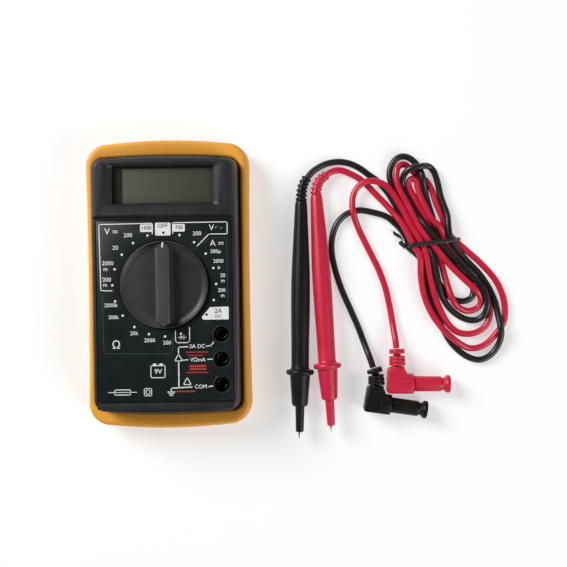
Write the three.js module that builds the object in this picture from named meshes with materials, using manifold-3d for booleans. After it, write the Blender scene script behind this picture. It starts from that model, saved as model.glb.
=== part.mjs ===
import * as THREE from "three";
import { mergeVertices } from "three/addons/utils/BufferGeometryUtils.js";
import Module from "manifold-3d";

const wasm = await Module();
wasm.setup();

// A pocket multimeter in a rubber holster, lying on its back, with its two test leads beside it.
// Millimetres. Z is up out of the face, Y runs towards the display end, X to the right.
// The origin is under the middle of the holster, on the surface that it lies on.

const gap = 0.3; // left between pieces that touch
const fine = 40; // sides of a large round
const coarse = 20; // sides of a middling round
const small = 12; // sides of a small round

// The case: two shells that meet at a seam.
const caseWidth = 69.6;
const caseLength = 123;
const caseDepth = 25.5;
const caseWall = 2.2;
const caseCorner = 5;
const endArch = 1; // how far the ends bow out
const seamHeight = 10; // from the case's back
const faceDraft = 1.4; // how far the sides lean in from the seam to the face
const backDraft = 0.8;
const faceRound = 1;
const backRound = 1.2;
const lipHeight = 1.6;
const lipWall = 1;

// The holster that the case sits in.
const holsterSide = 4.6;
const holsterEnd = 8.2;
const holsterFloor = 2.6;
const holsterHeight = 14.5;
const holsterCorner = 11;
const holsterWaist = 0.6;

// The display at the top of the face.
const displayRise = 2.2;
const displayBlockLength = 28.8;
const displaySkin = 1.8;
const windowWidth = 47.2;
const windowLength = 17.6;
const windowBevel = 1.3;
const windowFromEnd = 15; // window centre from the end of the case
const lensThickness = 1.3;
const lensMargin = 1;
const frameWall = 1;
const cellThickness = 2.8;

// The range dial.
const dialRadius = 20.5;
const dialRise = 1.6;
const dialFloorDrop = 0.5;
const dialRimWidth = 1.2;
const gripRise = 6.6;
const gripWidth = 7;
const gripFlare = 0.8;
const flangeLip = 1.8;
const dialPinRadius = 2.4;
const detentStops = 20;
const detentBallRadius = 1.35;
const detentSpringRadius = 1.05;
const detentWire = 0.2;
const detentTurns = 4;
const detentHoleDepth = 6.4;
const wiperLength = 7;
const wiperWidth = 1.5;
const wiperThickness = 0.3;

// The three jacks.
const jackNames = ["com", "volt_ohm", "two_amp"];
const jackSpacing = 11.75;
const jackFromEnd = 14.5; // lowest jack from the end of the case
const jackFromSide = 8.5; // jack centres from the side of the case
const jackBore = 4.1;
const jackTubeWall = 0.75;
const jackWell = 7.2;
const jackBossWall = 1.2;
const jackDepth = 5.4; // tube mouth below the face
const jackTail = 10; // tube below the board

// The printed face plate and the bar below it.
const plateThickness = 0.35;
const plateRecess = 0.5;
const plateMargin = 1.8;
const plateLength = 84.7;
const barLength = 3.4;
const barRise = 0.9;

// The circuit board and what is on it.
const boardThickness = 1.6;
const boardBelowFace = 5; // board's top below the inside of the face
const boardMargin = 0.8;
const boardScrewHead = 2.3;
const boardScrewShank = 1;
const caseScrewHead = 2.6;
const caseScrewShank = 1.2;
const bossWall = 1.4;
const fuseRadius = 2.6;
const fuseLength = 20;
const wireRadius = 0.8;

// The nine volt battery, across the end below the dial.
const batteryLength = 45.7;
const batteryWidth = 26.5;
const batteryDepth = 17.5;
const batteryCorner = 2;
const studHeight = 2.6;
const snapThickness = 2.2;

// The leads.
const cordRadius = 1.6;
const cordSides = 8;
const guardRadius = 7;
const probeTail = 84.5; // guard to the end of the handle
const reliefRadius = 2.4;
const needleRadius = 0.8;
const pinRadius = 1.95;
const capRadius = 3.8;
const capWall = 1.2;
const collarRadius = 5;
const tieRadius = 0.6;
const hankHeight = 9.5;

const black = { color: 0x1c1c1d, roughness: 0.55, metalness: 0 };
const red = { color: 0xb8203a, roughness: 0.42, metalness: 0 };
const rubberYellow = { color: 0xdf9a2c, roughness: 0.62, metalness: 0 };
const caseBlack = { color: 0x26272a, roughness: 0.5, metalness: 0 };
const nickel = { color: 0xc4c4c0, roughness: 0.25, metalness: 1 };
const brass = { color: 0xb99a55, roughness: 0.3, metalness: 1 };
const boardGreen = { color: 0x2f6b3c, roughness: 0.5, metalness: 0 };
const glassClear = { color: 0xd7dcd4, roughness: 0.08, metalness: 0 };

const object = new THREE.Group();

// Heights worked out from the sizes above.
const caseBack = holsterFloor + gap;
const seam = caseBack + seamHeight;
const face = caseBack + caseDepth;
const faceInside = face - caseWall;
const displayTop = face + displayRise;
const displayInside = displayTop - displaySkin;
const boardTop = faceInside - boardBelowFace;
const boardUnder = boardTop - boardThickness;
const rearInside = caseBack + caseWall;
const halfWidth = caseWidth / 2;
const halfLength = caseLength / 2;

function addMesh(parent, name, geometry, look) {
  const material = new THREE.MeshStandardMaterial(look);
  const mesh = new THREE.Mesh(geometry, material);
  mesh.name = name;
  parent.add(mesh);
  return mesh;
}

// Turns a closed geometry into a solid, with its faces outwards.
function toSolid(geometry) {
  const bare = new THREE.BufferGeometry();
  const loose = geometry.index ? geometry.toNonIndexed() : geometry;
  bare.setAttribute("position", loose.getAttribute("position"));
  const merged = mergeVertices(bare, 1e-4);
  const corners = merged.index.array;
  const kept = [];
  for (let i = 0; i < corners.length; i += 3) {
    const [a, b, c] = [corners[i], corners[i + 1], corners[i + 2]];
    if (a !== b && b !== c && c !== a) kept.push(a, b, c);
  }
  const places = merged.attributes.position.array;
  const make = (triangles) =>
    new wasm.Manifold(
      new wasm.Mesh({ numProp: 3, vertProperties: places, triVerts: new Uint32Array(triangles) }),
    );
  const solid = make(kept);
  return solid.volume() < 0 ? make(kept.reverse()) : solid;
}

function toGeometry(solid) {
  const mesh = solid.getMesh();
  const geometry = new THREE.BufferGeometry();
  const places = new Float32Array(mesh.numVert * 3);
  for (let i = 0; i < mesh.numVert; i += 1)
    places.set(mesh.vertProperties.subarray(i * mesh.numProp, i * mesh.numProp + 3), i * 3);
  geometry.setAttribute("position", new THREE.BufferAttribute(places, 3));
  geometry.setIndex(new THREE.BufferAttribute(mesh.triVerts, 1));
  return geometry;
}

const join = (first, ...others) => others.reduce((sum, other) => sum.add(other), first);
const cut = (first, ...others) => others.reduce((rest, other) => rest.subtract(other), first);

// A box from its low corner to its high corner.
function block(low, high) {
  const size = high.map((value, axis) => value - low[axis]);
  const middle = high.map((value, axis) => (value + low[axis]) / 2);
  return toSolid(new THREE.BoxGeometry(...size).translate(...middle));
}

// An upright cylinder.
function rod(x, y, low, high, radius, sides = coarse) {
  const geometry = new THREE.CylinderGeometry(radius, radius, high - low, sides);
  return toSolid(geometry.rotateX(Math.PI / 2).translate(x, y, (low + high) / 2));
}

// A cylinder from one point to another.
function bar(from, to, radius, sides = coarse) {
  const start = new THREE.Vector3(...from);
  const way = new THREE.Vector3(...to).sub(start);
  const geometry = new THREE.CylinderGeometry(radius, radius, way.length(), sides);
  const turn = new THREE.Quaternion();
  turn.setFromUnitVectors(new THREE.Vector3(0, 1, 0), way.clone().normalize());
  geometry.applyQuaternion(turn).translate(...start.addScaledVector(way, 0.5).toArray());
  return toSolid(geometry);
}

// A solid of revolution about an upright axis, from [radius, height] pairs.
function turned(profile, sides = coarse) {
  const points = profile.map(([radius, height]) => new THREE.Vector2(radius, height));
  return toSolid(new THREE.LatheGeometry(points, sides).rotateX(Math.PI / 2));
}

// The same about the Y axis.
function turnedAlongY(profile, sides = coarse) {
  const points = profile.map(([radius, along]) => new THREE.Vector2(radius, along));
  return toSolid(new THREE.LatheGeometry(points, sides));
}

// A tube along a smooth route.
function tube(points, radius, sides, steps) {
  const route = new THREE.CatmullRomCurve3(points.map((point) => new THREE.Vector3(...point)));
  const section = new THREE.Shape();
  for (let i = 0; i < sides; i += 1) {
    const angle = ((i + 0.5) / sides) * 2 * Math.PI;
    const place = [Math.cos(angle) * radius, Math.sin(angle) * radius];
    if (i) section.lineTo(...place);
    else section.moveTo(...place);
  }
  return new THREE.ExtrudeGeometry(section, { steps, extrudePath: route, bevelEnabled: false });
}

// A rectangle with round corners, bowed ends and a slight waist.
function outline(width, length, corner, arch, waist = 0, fineness = 4) {
  const [x, y] = [width / 2, length / 2];
  const flat = y - arch;
  const pull = corner * (1 - 0.5523);
  const shape = new THREE.Shape();
  shape.moveTo(-x + corner, -flat);
  shape.quadraticCurveTo(0, -flat - 2 * arch, x - corner, -flat);
  shape.bezierCurveTo(x - pull, -flat, x, -flat + pull, x, -flat + corner);
  shape.quadraticCurveTo(x - 2 * waist, 0, x, flat - corner);
  shape.bezierCurveTo(x, flat - pull, x - pull, flat, x - corner, flat);
  shape.quadraticCurveTo(0, flat + 2 * arch, -x + corner, flat);
  shape.bezierCurveTo(-x + pull, flat, -x, flat - pull, -x, flat - corner);
  shape.quadraticCurveTo(-x + 2 * waist, 0, -x, -flat + corner);
  shape.bezierCurveTo(-x, -flat + pull, -x + pull, -flat, -x + corner, -flat);
  const points = shape.getPoints(fineness);
  return points.slice(0, -1);
}

// A solid through outlines with the same number of points, lowest first.
function loft(levels) {
  const count = levels[0].points.length;
  const places = levels.flatMap(({ height, points }) => points.flatMap((p) => [p.x, p.y, height]));
  const index = [];
  for (let level = 0; level + 1 < levels.length; level += 1)
    for (let i = 0; i < count; i += 1) {
      const a = level * count + i;
      const b = level * count + ((i + 1) % count);
      index.push(a, b, b + count, a, b + count, a + count);
    }
  const last = (levels.length - 1) * count;
  for (const [a, b, c] of THREE.ShapeUtils.triangulateShape(levels[0].points, []))
    index.push(a, c, b);
  for (const [a, b, c] of THREE.ShapeUtils.triangulateShape(levels.at(-1).points, []))
    index.push(last + a, last + b, last + c);
  const geometry = new THREE.BufferGeometry();
  geometry.setAttribute("position", new THREE.BufferAttribute(new Float32Array(places), 3));
  geometry.setIndex(index);
  return toSolid(geometry);
}

// The case's outline at a height, drawn in by an inset.
const caseInset = (height) =>
  height < seam
    ? (backDraft * (seam - height)) / seamHeight
    : (faceDraft * (height - seam)) / (face - seam);

function caseOutline(height, inset) {
  const all = caseInset(height) + inset;
  const corner = Math.max(caseCorner - Math.max(inset, 0), 1.5);
  return outline(caseWidth - 2 * all, caseLength - 2 * all, corner, endArch);
}

const caseLevels = (steps) =>
  steps.map(([height, inset]) => ({ height, points: caseOutline(height, inset) }));

// Half the clear width and length inside the case.
const insideHalfWidth = halfWidth - faceDraft - caseWall;
const insideHalfLength = halfLength - faceDraft - caseWall - endArch;

// Where the jacks, screws and battery go.
const jackX = halfWidth - jackFromSide;
const jackYs = jackNames.map((_, i) => -halfLength + jackFromEnd + i * jackSpacing);
const jackTubeRadius = jackBore / 2 + jackTubeWall;
const jackBossRadius = jackWell / 2 + jackBossWall;
const flangeRadius = dialRadius + flangeLip;
const ridgeRadius = flangeRadius + 1;
const detentNotch = detentBallRadius + 0.25;
const ballCentre = ridgeRadius - detentBallRadius - 0.15; // pushed in, as between two stops
const notchCentre = ridgeRadius + 0.1;
const ringRadius = notchCentre + detentNotch + 1.6;
const flangeTop = faceInside - 0.4;
const flangeUnder = boardTop + 0.9;
const ballHeight = (flangeTop + flangeUnder) / 2;
const lipReach = caseWall + gap + lipWall;
const batteryLeft = -halfWidth + lipReach + 1.3;
const batteryRight = batteryLeft + batteryLength;
const snapLeft = batteryRight + studHeight + gap;
const snapRight = snapLeft + snapThickness;
const batteryLow = -halfLength + lipReach + endArch + 0.9;
const batteryHigh = batteryLow + batteryWidth;
const caseBossRadius = caseScrewShank + bossWall + 0.1;
const caseScrewX = halfWidth - lipReach - gap - 0.1 - caseBossRadius;
const caseScrewY = -12.5;
const displayY = halfLength - windowFromEnd;
const plateWidth = caseWidth - 2 * (faceDraft + faceRound + plateMargin - 1);
const plateTop = halfLength - faceDraft - displayBlockLength - 1.2;
const plateY = plateTop - plateLength / 2;
const displayFrameTop = displayY + windowLength / 2 + lensMargin + frameWall + 2 * gap;
const boardLow = batteryHigh + 0.6;
const boardHigh = insideHalfLength - 0.4;
const boardHalfWidth = insideHalfWidth - boardMargin;
const boardBossRadius = boardScrewShank + bossWall;
const boardScrewSide = boardHalfWidth - boardBossRadius - 0.8;
const boardScrewLow = boardLow + boardScrewHead + 0.8;
const displayFrameLow = displayY - windowLength / 2 - 4.6;
const boardScrews = [
  [-boardScrewSide, displayFrameLow - boardBossRadius - 1.6],
  [boardScrewSide, displayFrameLow - boardBossRadius - 1.6],
  [-boardScrewSide, boardScrewLow],
  [boardScrewSide / 2, boardScrewLow],
];

function makeHolster() {
  const width = caseWidth + 2 * (gap + holsterSide);
  const length = caseLength + 2 * (gap + holsterEnd);
  const rim = holsterHeight;
  const outside = [
    [0, 2.2],
    [0.7, 0.9],
    [2.4, 0.1],
    [9, 0],
    [rim - 2.4, 0.5],
    [rim - 1, 1],
    [rim - 0.3, 1.7],
    [rim, 2.5],
  ].map(([height, inset]) => ({
    height,
    points: outline(
      width - 2 * inset,
      length - 2 * inset,
      holsterCorner - inset,
      endArch + 0.6,
      holsterWaist,
    ),
  }));
  const inside = caseLevels([
    [holsterFloor, -gap],
    [seam, -gap],
  ]);
  const flare = [
    [rim - 1.2, 0],
    [rim - 0.4, 0.3],
    [rim + 0.5, 1.5],
  ].map(([height, out]) => ({
    height,
    points: outline(
      caseWidth + 2 * (gap + out),
      caseLength + 2 * (gap + out),
      caseCorner + out,
      endArch,
    ),
  }));
  const solid = cut(loft(outside), loft([...inside, ...flare]));
  addMesh(object, "holster", toGeometry(solid), rubberYellow);
}

function makeRearShell() {
  const top = seam - gap / 2;
  const skin = loft(
    caseLevels([
      [caseBack, backRound],
      [caseBack + 0.35, backRound * 0.4],
      [caseBack + backRound, 0],
      [top, 0],
    ]),
  );
  const hollow = loft(
    caseLevels([
      [rearInside, caseWall],
      [seam + 1, caseWall],
    ]),
  );
  const lipOutside = loft(
    caseLevels([
      [seam - 2, caseWall + gap],
      [seam + lipHeight, caseWall + gap],
    ]),
  );
  const lipInside = loft(
    caseLevels([
      [seam - 4.5, lipReach],
      [seam + lipHeight + 1, lipReach],
    ]),
  );
  const lipRoot = loft(
    caseLevels([
      [seam - 3.5, caseWall - 0.4],
      [seam - 1.5, caseWall - 0.4],
    ]),
  );
  let solid = join(cut(skin, hollow), cut(lipOutside, lipInside), cut(lipRoot, lipInside));
  // Each screw boss is joined to the side wall by a web.
  for (const side of [-1, 1]) {
    const [near, far] = [caseScrewX, halfWidth - backDraft - 0.6].map((x) => side * x);
    const web = block(
      [Math.min(near, far), caseScrewY - 2.5, rearInside - 0.5],
      [Math.max(near, far), caseScrewY + 2.5, top],
    );
    solid = join(solid, web, rod(near, caseScrewY, rearInside - 0.5, top, caseScrewHead + 1));
  }
  for (const x of [-caseScrewX, caseScrewX]) {
    const recess = rod(x, caseScrewY, caseBack - 1, caseBack + 3, caseScrewHead + gap);
    solid = cut(solid, recess, rod(x, caseScrewY, caseBack, seam + 2, caseScrewShank + gap, small));
  }
  addMesh(object, "rear_shell", toGeometry(solid), caseBlack);
}

function makeFrontShell() {
  const skin = loft(
    caseLevels([
      [seam + gap / 2, 0],
      [face - faceRound, 0],
      [face - faceRound * 0.3, faceRound * 0.3],
      [face, faceRound],
    ]),
  );
  const hollow = loft(
    caseLevels([
      [seam - 1, caseWall],
      [faceInside, caseWall],
    ]),
  );
  const blockLow = halfLength - faceDraft - displayBlockLength;
  const blockLevels = [
    [face - 0.6, 0.4],
    [face + displayRise * 0.5, 0.7],
    [displayTop - 0.4, 1.4],
    [displayTop, 2.1],
  ].map(([height, inset]) => ({ height, points: caseOutline(face, inset) }));
  const blockSide = loft([
    { height: face - 1, points: outline(caseWidth, displayBlockLength * 2, 1, 0) },
    { height: displayTop + 1, points: outline(caseWidth, displayBlockLength * 2 - 2.4, 1, 0) },
  ]).translate([0, blockLow + displayBlockLength, 0]);
  const display = loft(blockLevels).intersect(blockSide);
  const barTop = -halfLength + faceDraft + 1.6 + barLength;
  const barBlock = loft(
    [
      [face - 0.6, 0],
      [face + barRise - 0.3, 0.1],
      [face + barRise, 0.5],
    ].map(([height, inset]) => ({
      height,
      points: outline(caseWidth - 6 - 2 * inset, barLength - 2 * inset, 0.7, 0.3),
    })),
  ).translate([0, barTop - barLength / 2, 0]);
  let solid = cut(join(skin, display, barBlock), hollow);

  // Bosses, the jack wells and the detent ring hang from the inside of the face.
  const ring = cut(
    rod(0, 0, flangeUnder + gap, faceInside + 0.5, ringRadius, fine),
    rod(0, 0, flangeUnder - 1, faceInside - 0.15, ridgeRadius, fine),
  );
  solid = join(solid, ring);
  for (const [x, y] of boardScrews)
    solid = join(solid, rod(x, y, boardTop + gap, faceInside + 0.5, boardBossRadius, small));
  for (const x of [-caseScrewX, caseScrewX])
    solid = join(solid, rod(x, caseScrewY, seam + gap / 2, faceInside + 0.5, caseBossRadius, small));
  for (const y of jackYs)
    solid = join(solid, rod(jackX, y, boardTop + gap, faceInside + 0.5, jackBossRadius));

  for (const [x, y] of boardScrews)
    solid = cut(solid, rod(x, y, boardTop - 1, faceInside - 0.6, boardScrewShank + 0.1, small));
  for (const x of [-caseScrewX, caseScrewX])
    solid = cut(solid, rod(x, caseScrewY, seam - 1, faceInside - 2, caseScrewShank + 0.1, small));
  for (const y of jackYs) solid = cut(solid, rod(jackX, y, boardTop - 1, face + 1, jackWell / 2));
  for (let stop = 0; stop < detentStops; stop += 1) {
    const angle = (stop / detentStops) * 2 * Math.PI;
    const place = [Math.cos(angle) * notchCentre, Math.sin(angle) * notchCentre];
    solid = cut(solid, rod(...place, flangeUnder - 1, faceInside - 0.3, detentNotch, 10));
  }
  solid = cut(solid, rod(0, 0, faceInside - 1, face + 1, dialRadius + gap, fine));

  // The display pocket and its bevelled window.
  const pocketWidth = windowWidth / 2 + lensMargin + frameWall + 2 * gap;
  const pocket = block(
    [-pocketWidth, displayFrameLow - gap, boardTop],
    [pocketWidth, displayFrameTop + gap, displayInside],
  );
  const windowCut = loft(
    [
      [displayInside - 1, 0],
      [displayTop - 1.1, 0],
      [displayTop + 0.1, windowBevel],
    ].map(([height, out]) => ({
      height,
      points: outline(windowWidth + 2 * out, windowLength + 2 * out, 0.8 + out, 0, 0, 3),
    })),
  ).translate([0, displayY, 0]);
  const plateCut = loft(
    [face - plateRecess, face + 2].map((height) => ({
      height,
      points: outline(plateWidth + 2 * gap, plateLength + 2 * gap, 1.5, 0, 0, 3),
    })),
  ).translate([0, plateY, 0]);
  solid = cut(solid, pocket, windowCut, plateCut);
  addMesh(object, "front_shell", toGeometry(solid), caseBlack);
}

function makeFacePlate() {
  const low = face - plateRecess + 0.1;
  let solid = loft(
    [low, low + plateThickness].map((height) => ({
      height,
      points: outline(plateWidth, plateLength, 1.2, 0, 0, 3),
    })),
  ).translate([0, plateY, 0]);
  solid = cut(solid, rod(0, 0, low - 1, face + 1, dialRadius + gap + 0.2, fine));
  for (const y of jackYs) solid = cut(solid, rod(jackX, y, low - 1, face + 1, jackWell / 2 + gap));
  addMesh(object, "face_plate", toGeometry(solid), {
    color: 0x1b2224,
    roughness: 0.45,
    metalness: 0,
  });
}

function makeDisplay() {
  const lensTop = displayInside - gap;
  const lensUnder = lensTop - lensThickness;
  const lensHalf = [windowWidth / 2 + lensMargin, windowLength / 2 + lensMargin];
  const lens = block(
    [-lensHalf[0], displayY - lensHalf[1], lensUnder],
    [lensHalf[0], displayY + lensHalf[1], lensTop],
  );
  addMesh(object, "display_window", toGeometry(lens), glassClear);

  const cellTop = lensUnder - gap;
  const cellUnder = cellTop - cellThickness;
  const cellLow = displayFrameLow + frameWall + gap;
  const cell = block(
    [-lensHalf[0], cellLow, cellUnder],
    [lensHalf[0], displayY + lensHalf[1], cellTop],
  );
  addMesh(object, "display_cell", toGeometry(cell), {
    color: 0x53564a,
    roughness: 0.3,
    metalness: 0,
  });

  const outerHalf = lensHalf[0] + gap + frameWall;
  const frameOutside = block(
    [-outerHalf, displayFrameLow, boardTop + gap],
    [outerHalf, displayFrameTop, displayInside - gap],
  );
  const frameInside = block(
    [-lensHalf[0] - gap, cellLow - gap, boardTop - 1],
    [lensHalf[0] + gap, displayFrameTop - frameWall, displayTop],
  );
  addMesh(object, "display_holder", toGeometry(cut(frameOutside, frameInside)), {
    color: 0x2b2c2e,
    roughness: 0.6,
    metalness: 0,
  });

  const strip = block(
    [-lensHalf[0] + 2, cellLow + 0.4, boardTop + gap],
    [lensHalf[0] - 2, cellLow + 2.8, cellUnder - gap],
  );
  addMesh(object, "display_contact_strip", toGeometry(strip), {
    color: 0x5b5b60,
    roughness: 0.8,
    metalness: 0,
  });
}

function makeDial() {
  const rimTop = face + dialRise;
  const rimInner = dialRadius - dialRimWidth;
  const floor = rimTop - dialFloorDrop;
  const body = turned(
    [
      [0, boardUnder - 1.2],
      [dialPinRadius, boardUnder - 1.2],
      [dialPinRadius, flangeUnder],
      [flangeRadius, flangeUnder],
      [flangeRadius, flangeTop],
      [dialRadius, flangeTop],
      [dialRadius, rimTop - 0.5],
      [dialRadius - 0.4, rimTop],
      [rimInner + 0.3, rimTop],
      [rimInner, floor],
      [0, floor],
    ],
    fine,
  );
  const gripTop = face + gripRise;
  const gripLength = 2 * (rimInner - 0.6);
  const grip = loft(
    [
      [floor - 0.5, gripFlare, 0],
      [floor + 1, gripFlare * 0.4, 0.2],
      [gripTop - 0.9, 0, 0.8],
      [gripTop - 0.25, -0.35, 1.3],
      [gripTop, -0.9, 2],
    ].map(([height, flare, back]) => ({
      height,
      points: outline(gripWidth + 2 * flare, gripLength - 2 * back, 1.8, 1, 0, 4),
    })),
  );
  const pointer = block([-0.5, rimInner - 8, gripTop - 0.4], [0.5, rimInner + 1, gripTop + 1]);
  let solid = cut(join(body, grip), pointer);
  for (const side of [-1, 1])
    solid = cut(
      solid,
      bar(
        [side * (flangeRadius - detentHoleDepth), 0, ballHeight],
        [side * (flangeRadius + 2), 0, ballHeight],
        detentNotch,
        small,
      ),
    );
  addMesh(object, "range_dial", toGeometry(solid), {
    color: 0x2b2b2c,
    roughness: 0.5,
    metalness: 0,
  });

  // A ball and its spring on each side of the dial, pressing into the detent ring.
  for (const [side, word] of [
    [1, "right"],
    [-1, "left"],
  ]) {
    const ball = new THREE.SphereGeometry(detentBallRadius, 12, 8);
    addMesh(
      object,
      `detent_ball_${word}`,
      ball.translate(side * ballCentre, 0, ballHeight),
      nickel,
    );
    const springStart = flangeRadius - detentHoleDepth + gap;
    const springEnd = ballCentre - detentBallRadius - gap;
    const coil = [];
    const perTurn = 6;
    for (let i = 0; i <= detentTurns * perTurn; i += 1) {
      const share = i / (detentTurns * perTurn);
      const angle = share * detentTurns * 2 * Math.PI;
      const along = springStart + detentWire + share * (springEnd - springStart - 2 * detentWire);
      const across = Math.cos(angle) * detentSpringRadius;
      coil.push([side * along, across, ballHeight + Math.sin(angle) * detentSpringRadius]);
    }
    addMesh(object, `detent_spring_${word}`, tube(coil, detentWire, 5, coil.length - 1), nickel);
  }

  // Three bowed contact springs under the dial sweep the tracks on the board.
  const wiperSpots = [
    ["inner", 8.5, 100],
    ["middle", 13, 220],
    ["outer", 17.5, 340],
  ];
  for (const [word, radius, degrees] of wiperSpots) {
    const low = boardTop + 0.15;
    const high = flangeUnder - 0.15;
    const side = wiperLength / 2;
    const shape = new THREE.Shape();
    shape.moveTo(-side, low);
    shape.lineTo(0, high - wiperThickness);
    shape.lineTo(side, low);
    shape.lineTo(side, low + wiperThickness);
    shape.lineTo(0, high);
    shape.lineTo(-side, low + wiperThickness);
    const geometry = new THREE.ExtrudeGeometry(shape, { depth: wiperWidth, bevelEnabled: false });
    geometry.translate(0, 0, -wiperWidth / 2).rotateX(Math.PI / 2);
    const spot = addMesh(object, `contact_spring_${word}`, geometry, brass);
    const angle = (degrees * Math.PI) / 180;
    spot.position.set(Math.cos(angle) * radius, Math.sin(angle) * radius, 0);
    spot.rotation.z = angle + Math.PI / 2;
  }
}

function makeJacks() {
  const mouth = face - jackDepth;
  const foot = boardUnder - jackTail;
  jackNames.forEach((name, i) => {
    const tubeSolid = cut(
      rod(jackX, jackYs[i], foot, mouth, jackTubeRadius, small + 4),
      rod(jackX, jackYs[i], foot + 1, mouth + 1, jackBore / 2, small + 4),
    );
    addMesh(object, `jack_${name}`, toGeometry(tubeSolid), brass);
  });
}

function makeBoard() {
  const low = boardUnder;
  const high = boardTop;
  const main = block([-boardHalfWidth, boardLow, low], [boardHalfWidth, boardHigh, high]);
  // The arm reaches past the jacks, and stays clear of the battery's snap.
  const armLeft = Math.max(jackX - jackTubeRadius - 2.4, snapRight + gap);
  const arm = block([armLeft, jackYs[0] - 6, low], [boardHalfWidth, boardLow + 1, high]);
  let solid = join(main, arm);
  const through = (x, y, radius) => {
    solid = cut(solid, rod(x, y, low - 1, high + 1, radius, small));
  };
  through(0, 0, dialPinRadius + gap);
  for (const y of jackYs) through(jackX, y, jackTubeRadius + gap);
  for (const [x, y] of boardScrews) through(x, y, boardScrewShank + gap);
  for (const x of [-caseScrewX, caseScrewX]) through(x, caseScrewY, caseBossRadius + gap + 0.3);
  addMesh(object, "circuit_board", toGeometry(solid), boardGreen);
}

function screw(headRadius, shankRadius, headLow, headHigh, tip) {
  return [
    [0, headLow],
    [headRadius * 0.75, headLow],
    [headRadius, headLow + 0.5],
    [headRadius, headHigh],
    [shankRadius, headHigh],
    [shankRadius, tip - 0.8],
    [0, tip],
  ];
}

function makeScrews() {
  boardScrews.forEach(([x, y], i) => {
    const profile = screw(
      boardScrewHead,
      boardScrewShank - 0.1,
      boardUnder - gap - 1.5,
      boardUnder - gap,
      faceInside - 1.2,
    );
    const solid = turned(profile, small).translate([x, y, 0]);
    addMesh(object, `board_screw_${i + 1}`, toGeometry(solid), nickel);
  });
  for (const [side, word] of [
    [-1, "left"],
    [1, "right"],
  ]) {
    const profile = screw(
      caseScrewHead,
      caseScrewShank - 0.1,
      caseBack + 0.9,
      caseBack + 3 - gap,
      faceInside - 4,
    );
    const solid = turned(profile, small).translate([side * caseScrewX, caseScrewY, 0]);
    addMesh(object, `case_screw_${word}`, toGeometry(solid), nickel);
  }
}

function makeBattery() {
  const low = rearInside + gap;
  const high = low + batteryDepth;
  const middleY = (batteryLow + batteryHigh) / 2;
  const middleZ = (low + high) / 2;
  const section = outline(batteryWidth, batteryDepth, batteryCorner, 0, 0, 3);
  const can = new THREE.ExtrudeGeometry(new THREE.Shape(section), {
    depth: batteryLength,
    bevelEnabled: false,
  });
  can.rotateX(Math.PI / 2).rotateZ(Math.PI / 2).translate(batteryLeft, middleY, middleZ);
  const studX = batteryRight - 0.5;
  const studs = [
    [-6.35, 2.9],
    [6.35, 3.8],
  ].map(([across, radius]) =>
    bar(
      [studX, middleY + across, middleZ],
      [batteryRight + studHeight, middleY + across, middleZ],
      radius,
      small,
    ),
  );
  addMesh(object, "nine_volt_battery", toGeometry(join(toSolid(can), ...studs)), {
    color: 0x8c7a4a,
    roughness: 0.4,
    metalness: 0.3,
  });

  const snap = block(
    [snapLeft, middleY - 12, middleZ - 5.5],
    [snapRight, middleY + 12, middleZ + 5.5],
  );
  addMesh(object, "battery_snap", toGeometry(snap), black);

  const exitX = snapLeft + snapThickness / 2;
  const exitY = middleY + 12 + gap;
  const wires = [
    ["red", 1.8, red],
    ["black", -1.8, black],
  ];
  for (const [word, lift, look] of wires) {
    const z = middleZ + lift;
    const endX = exitX + lift;
    const points = [
      [exitX, exitY, z],
      [exitX, exitY + 2.5, z],
      [exitX + lift * 0.6, exitY + 6, z + 1],
      [endX, exitY + 9, boardUnder - 3],
      [endX, exitY + 9.6, boardUnder - gap],
    ];
    addMesh(object, `battery_wire_${word}`, tube(points, wireRadius, 6, 14), look);
  }
}

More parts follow.
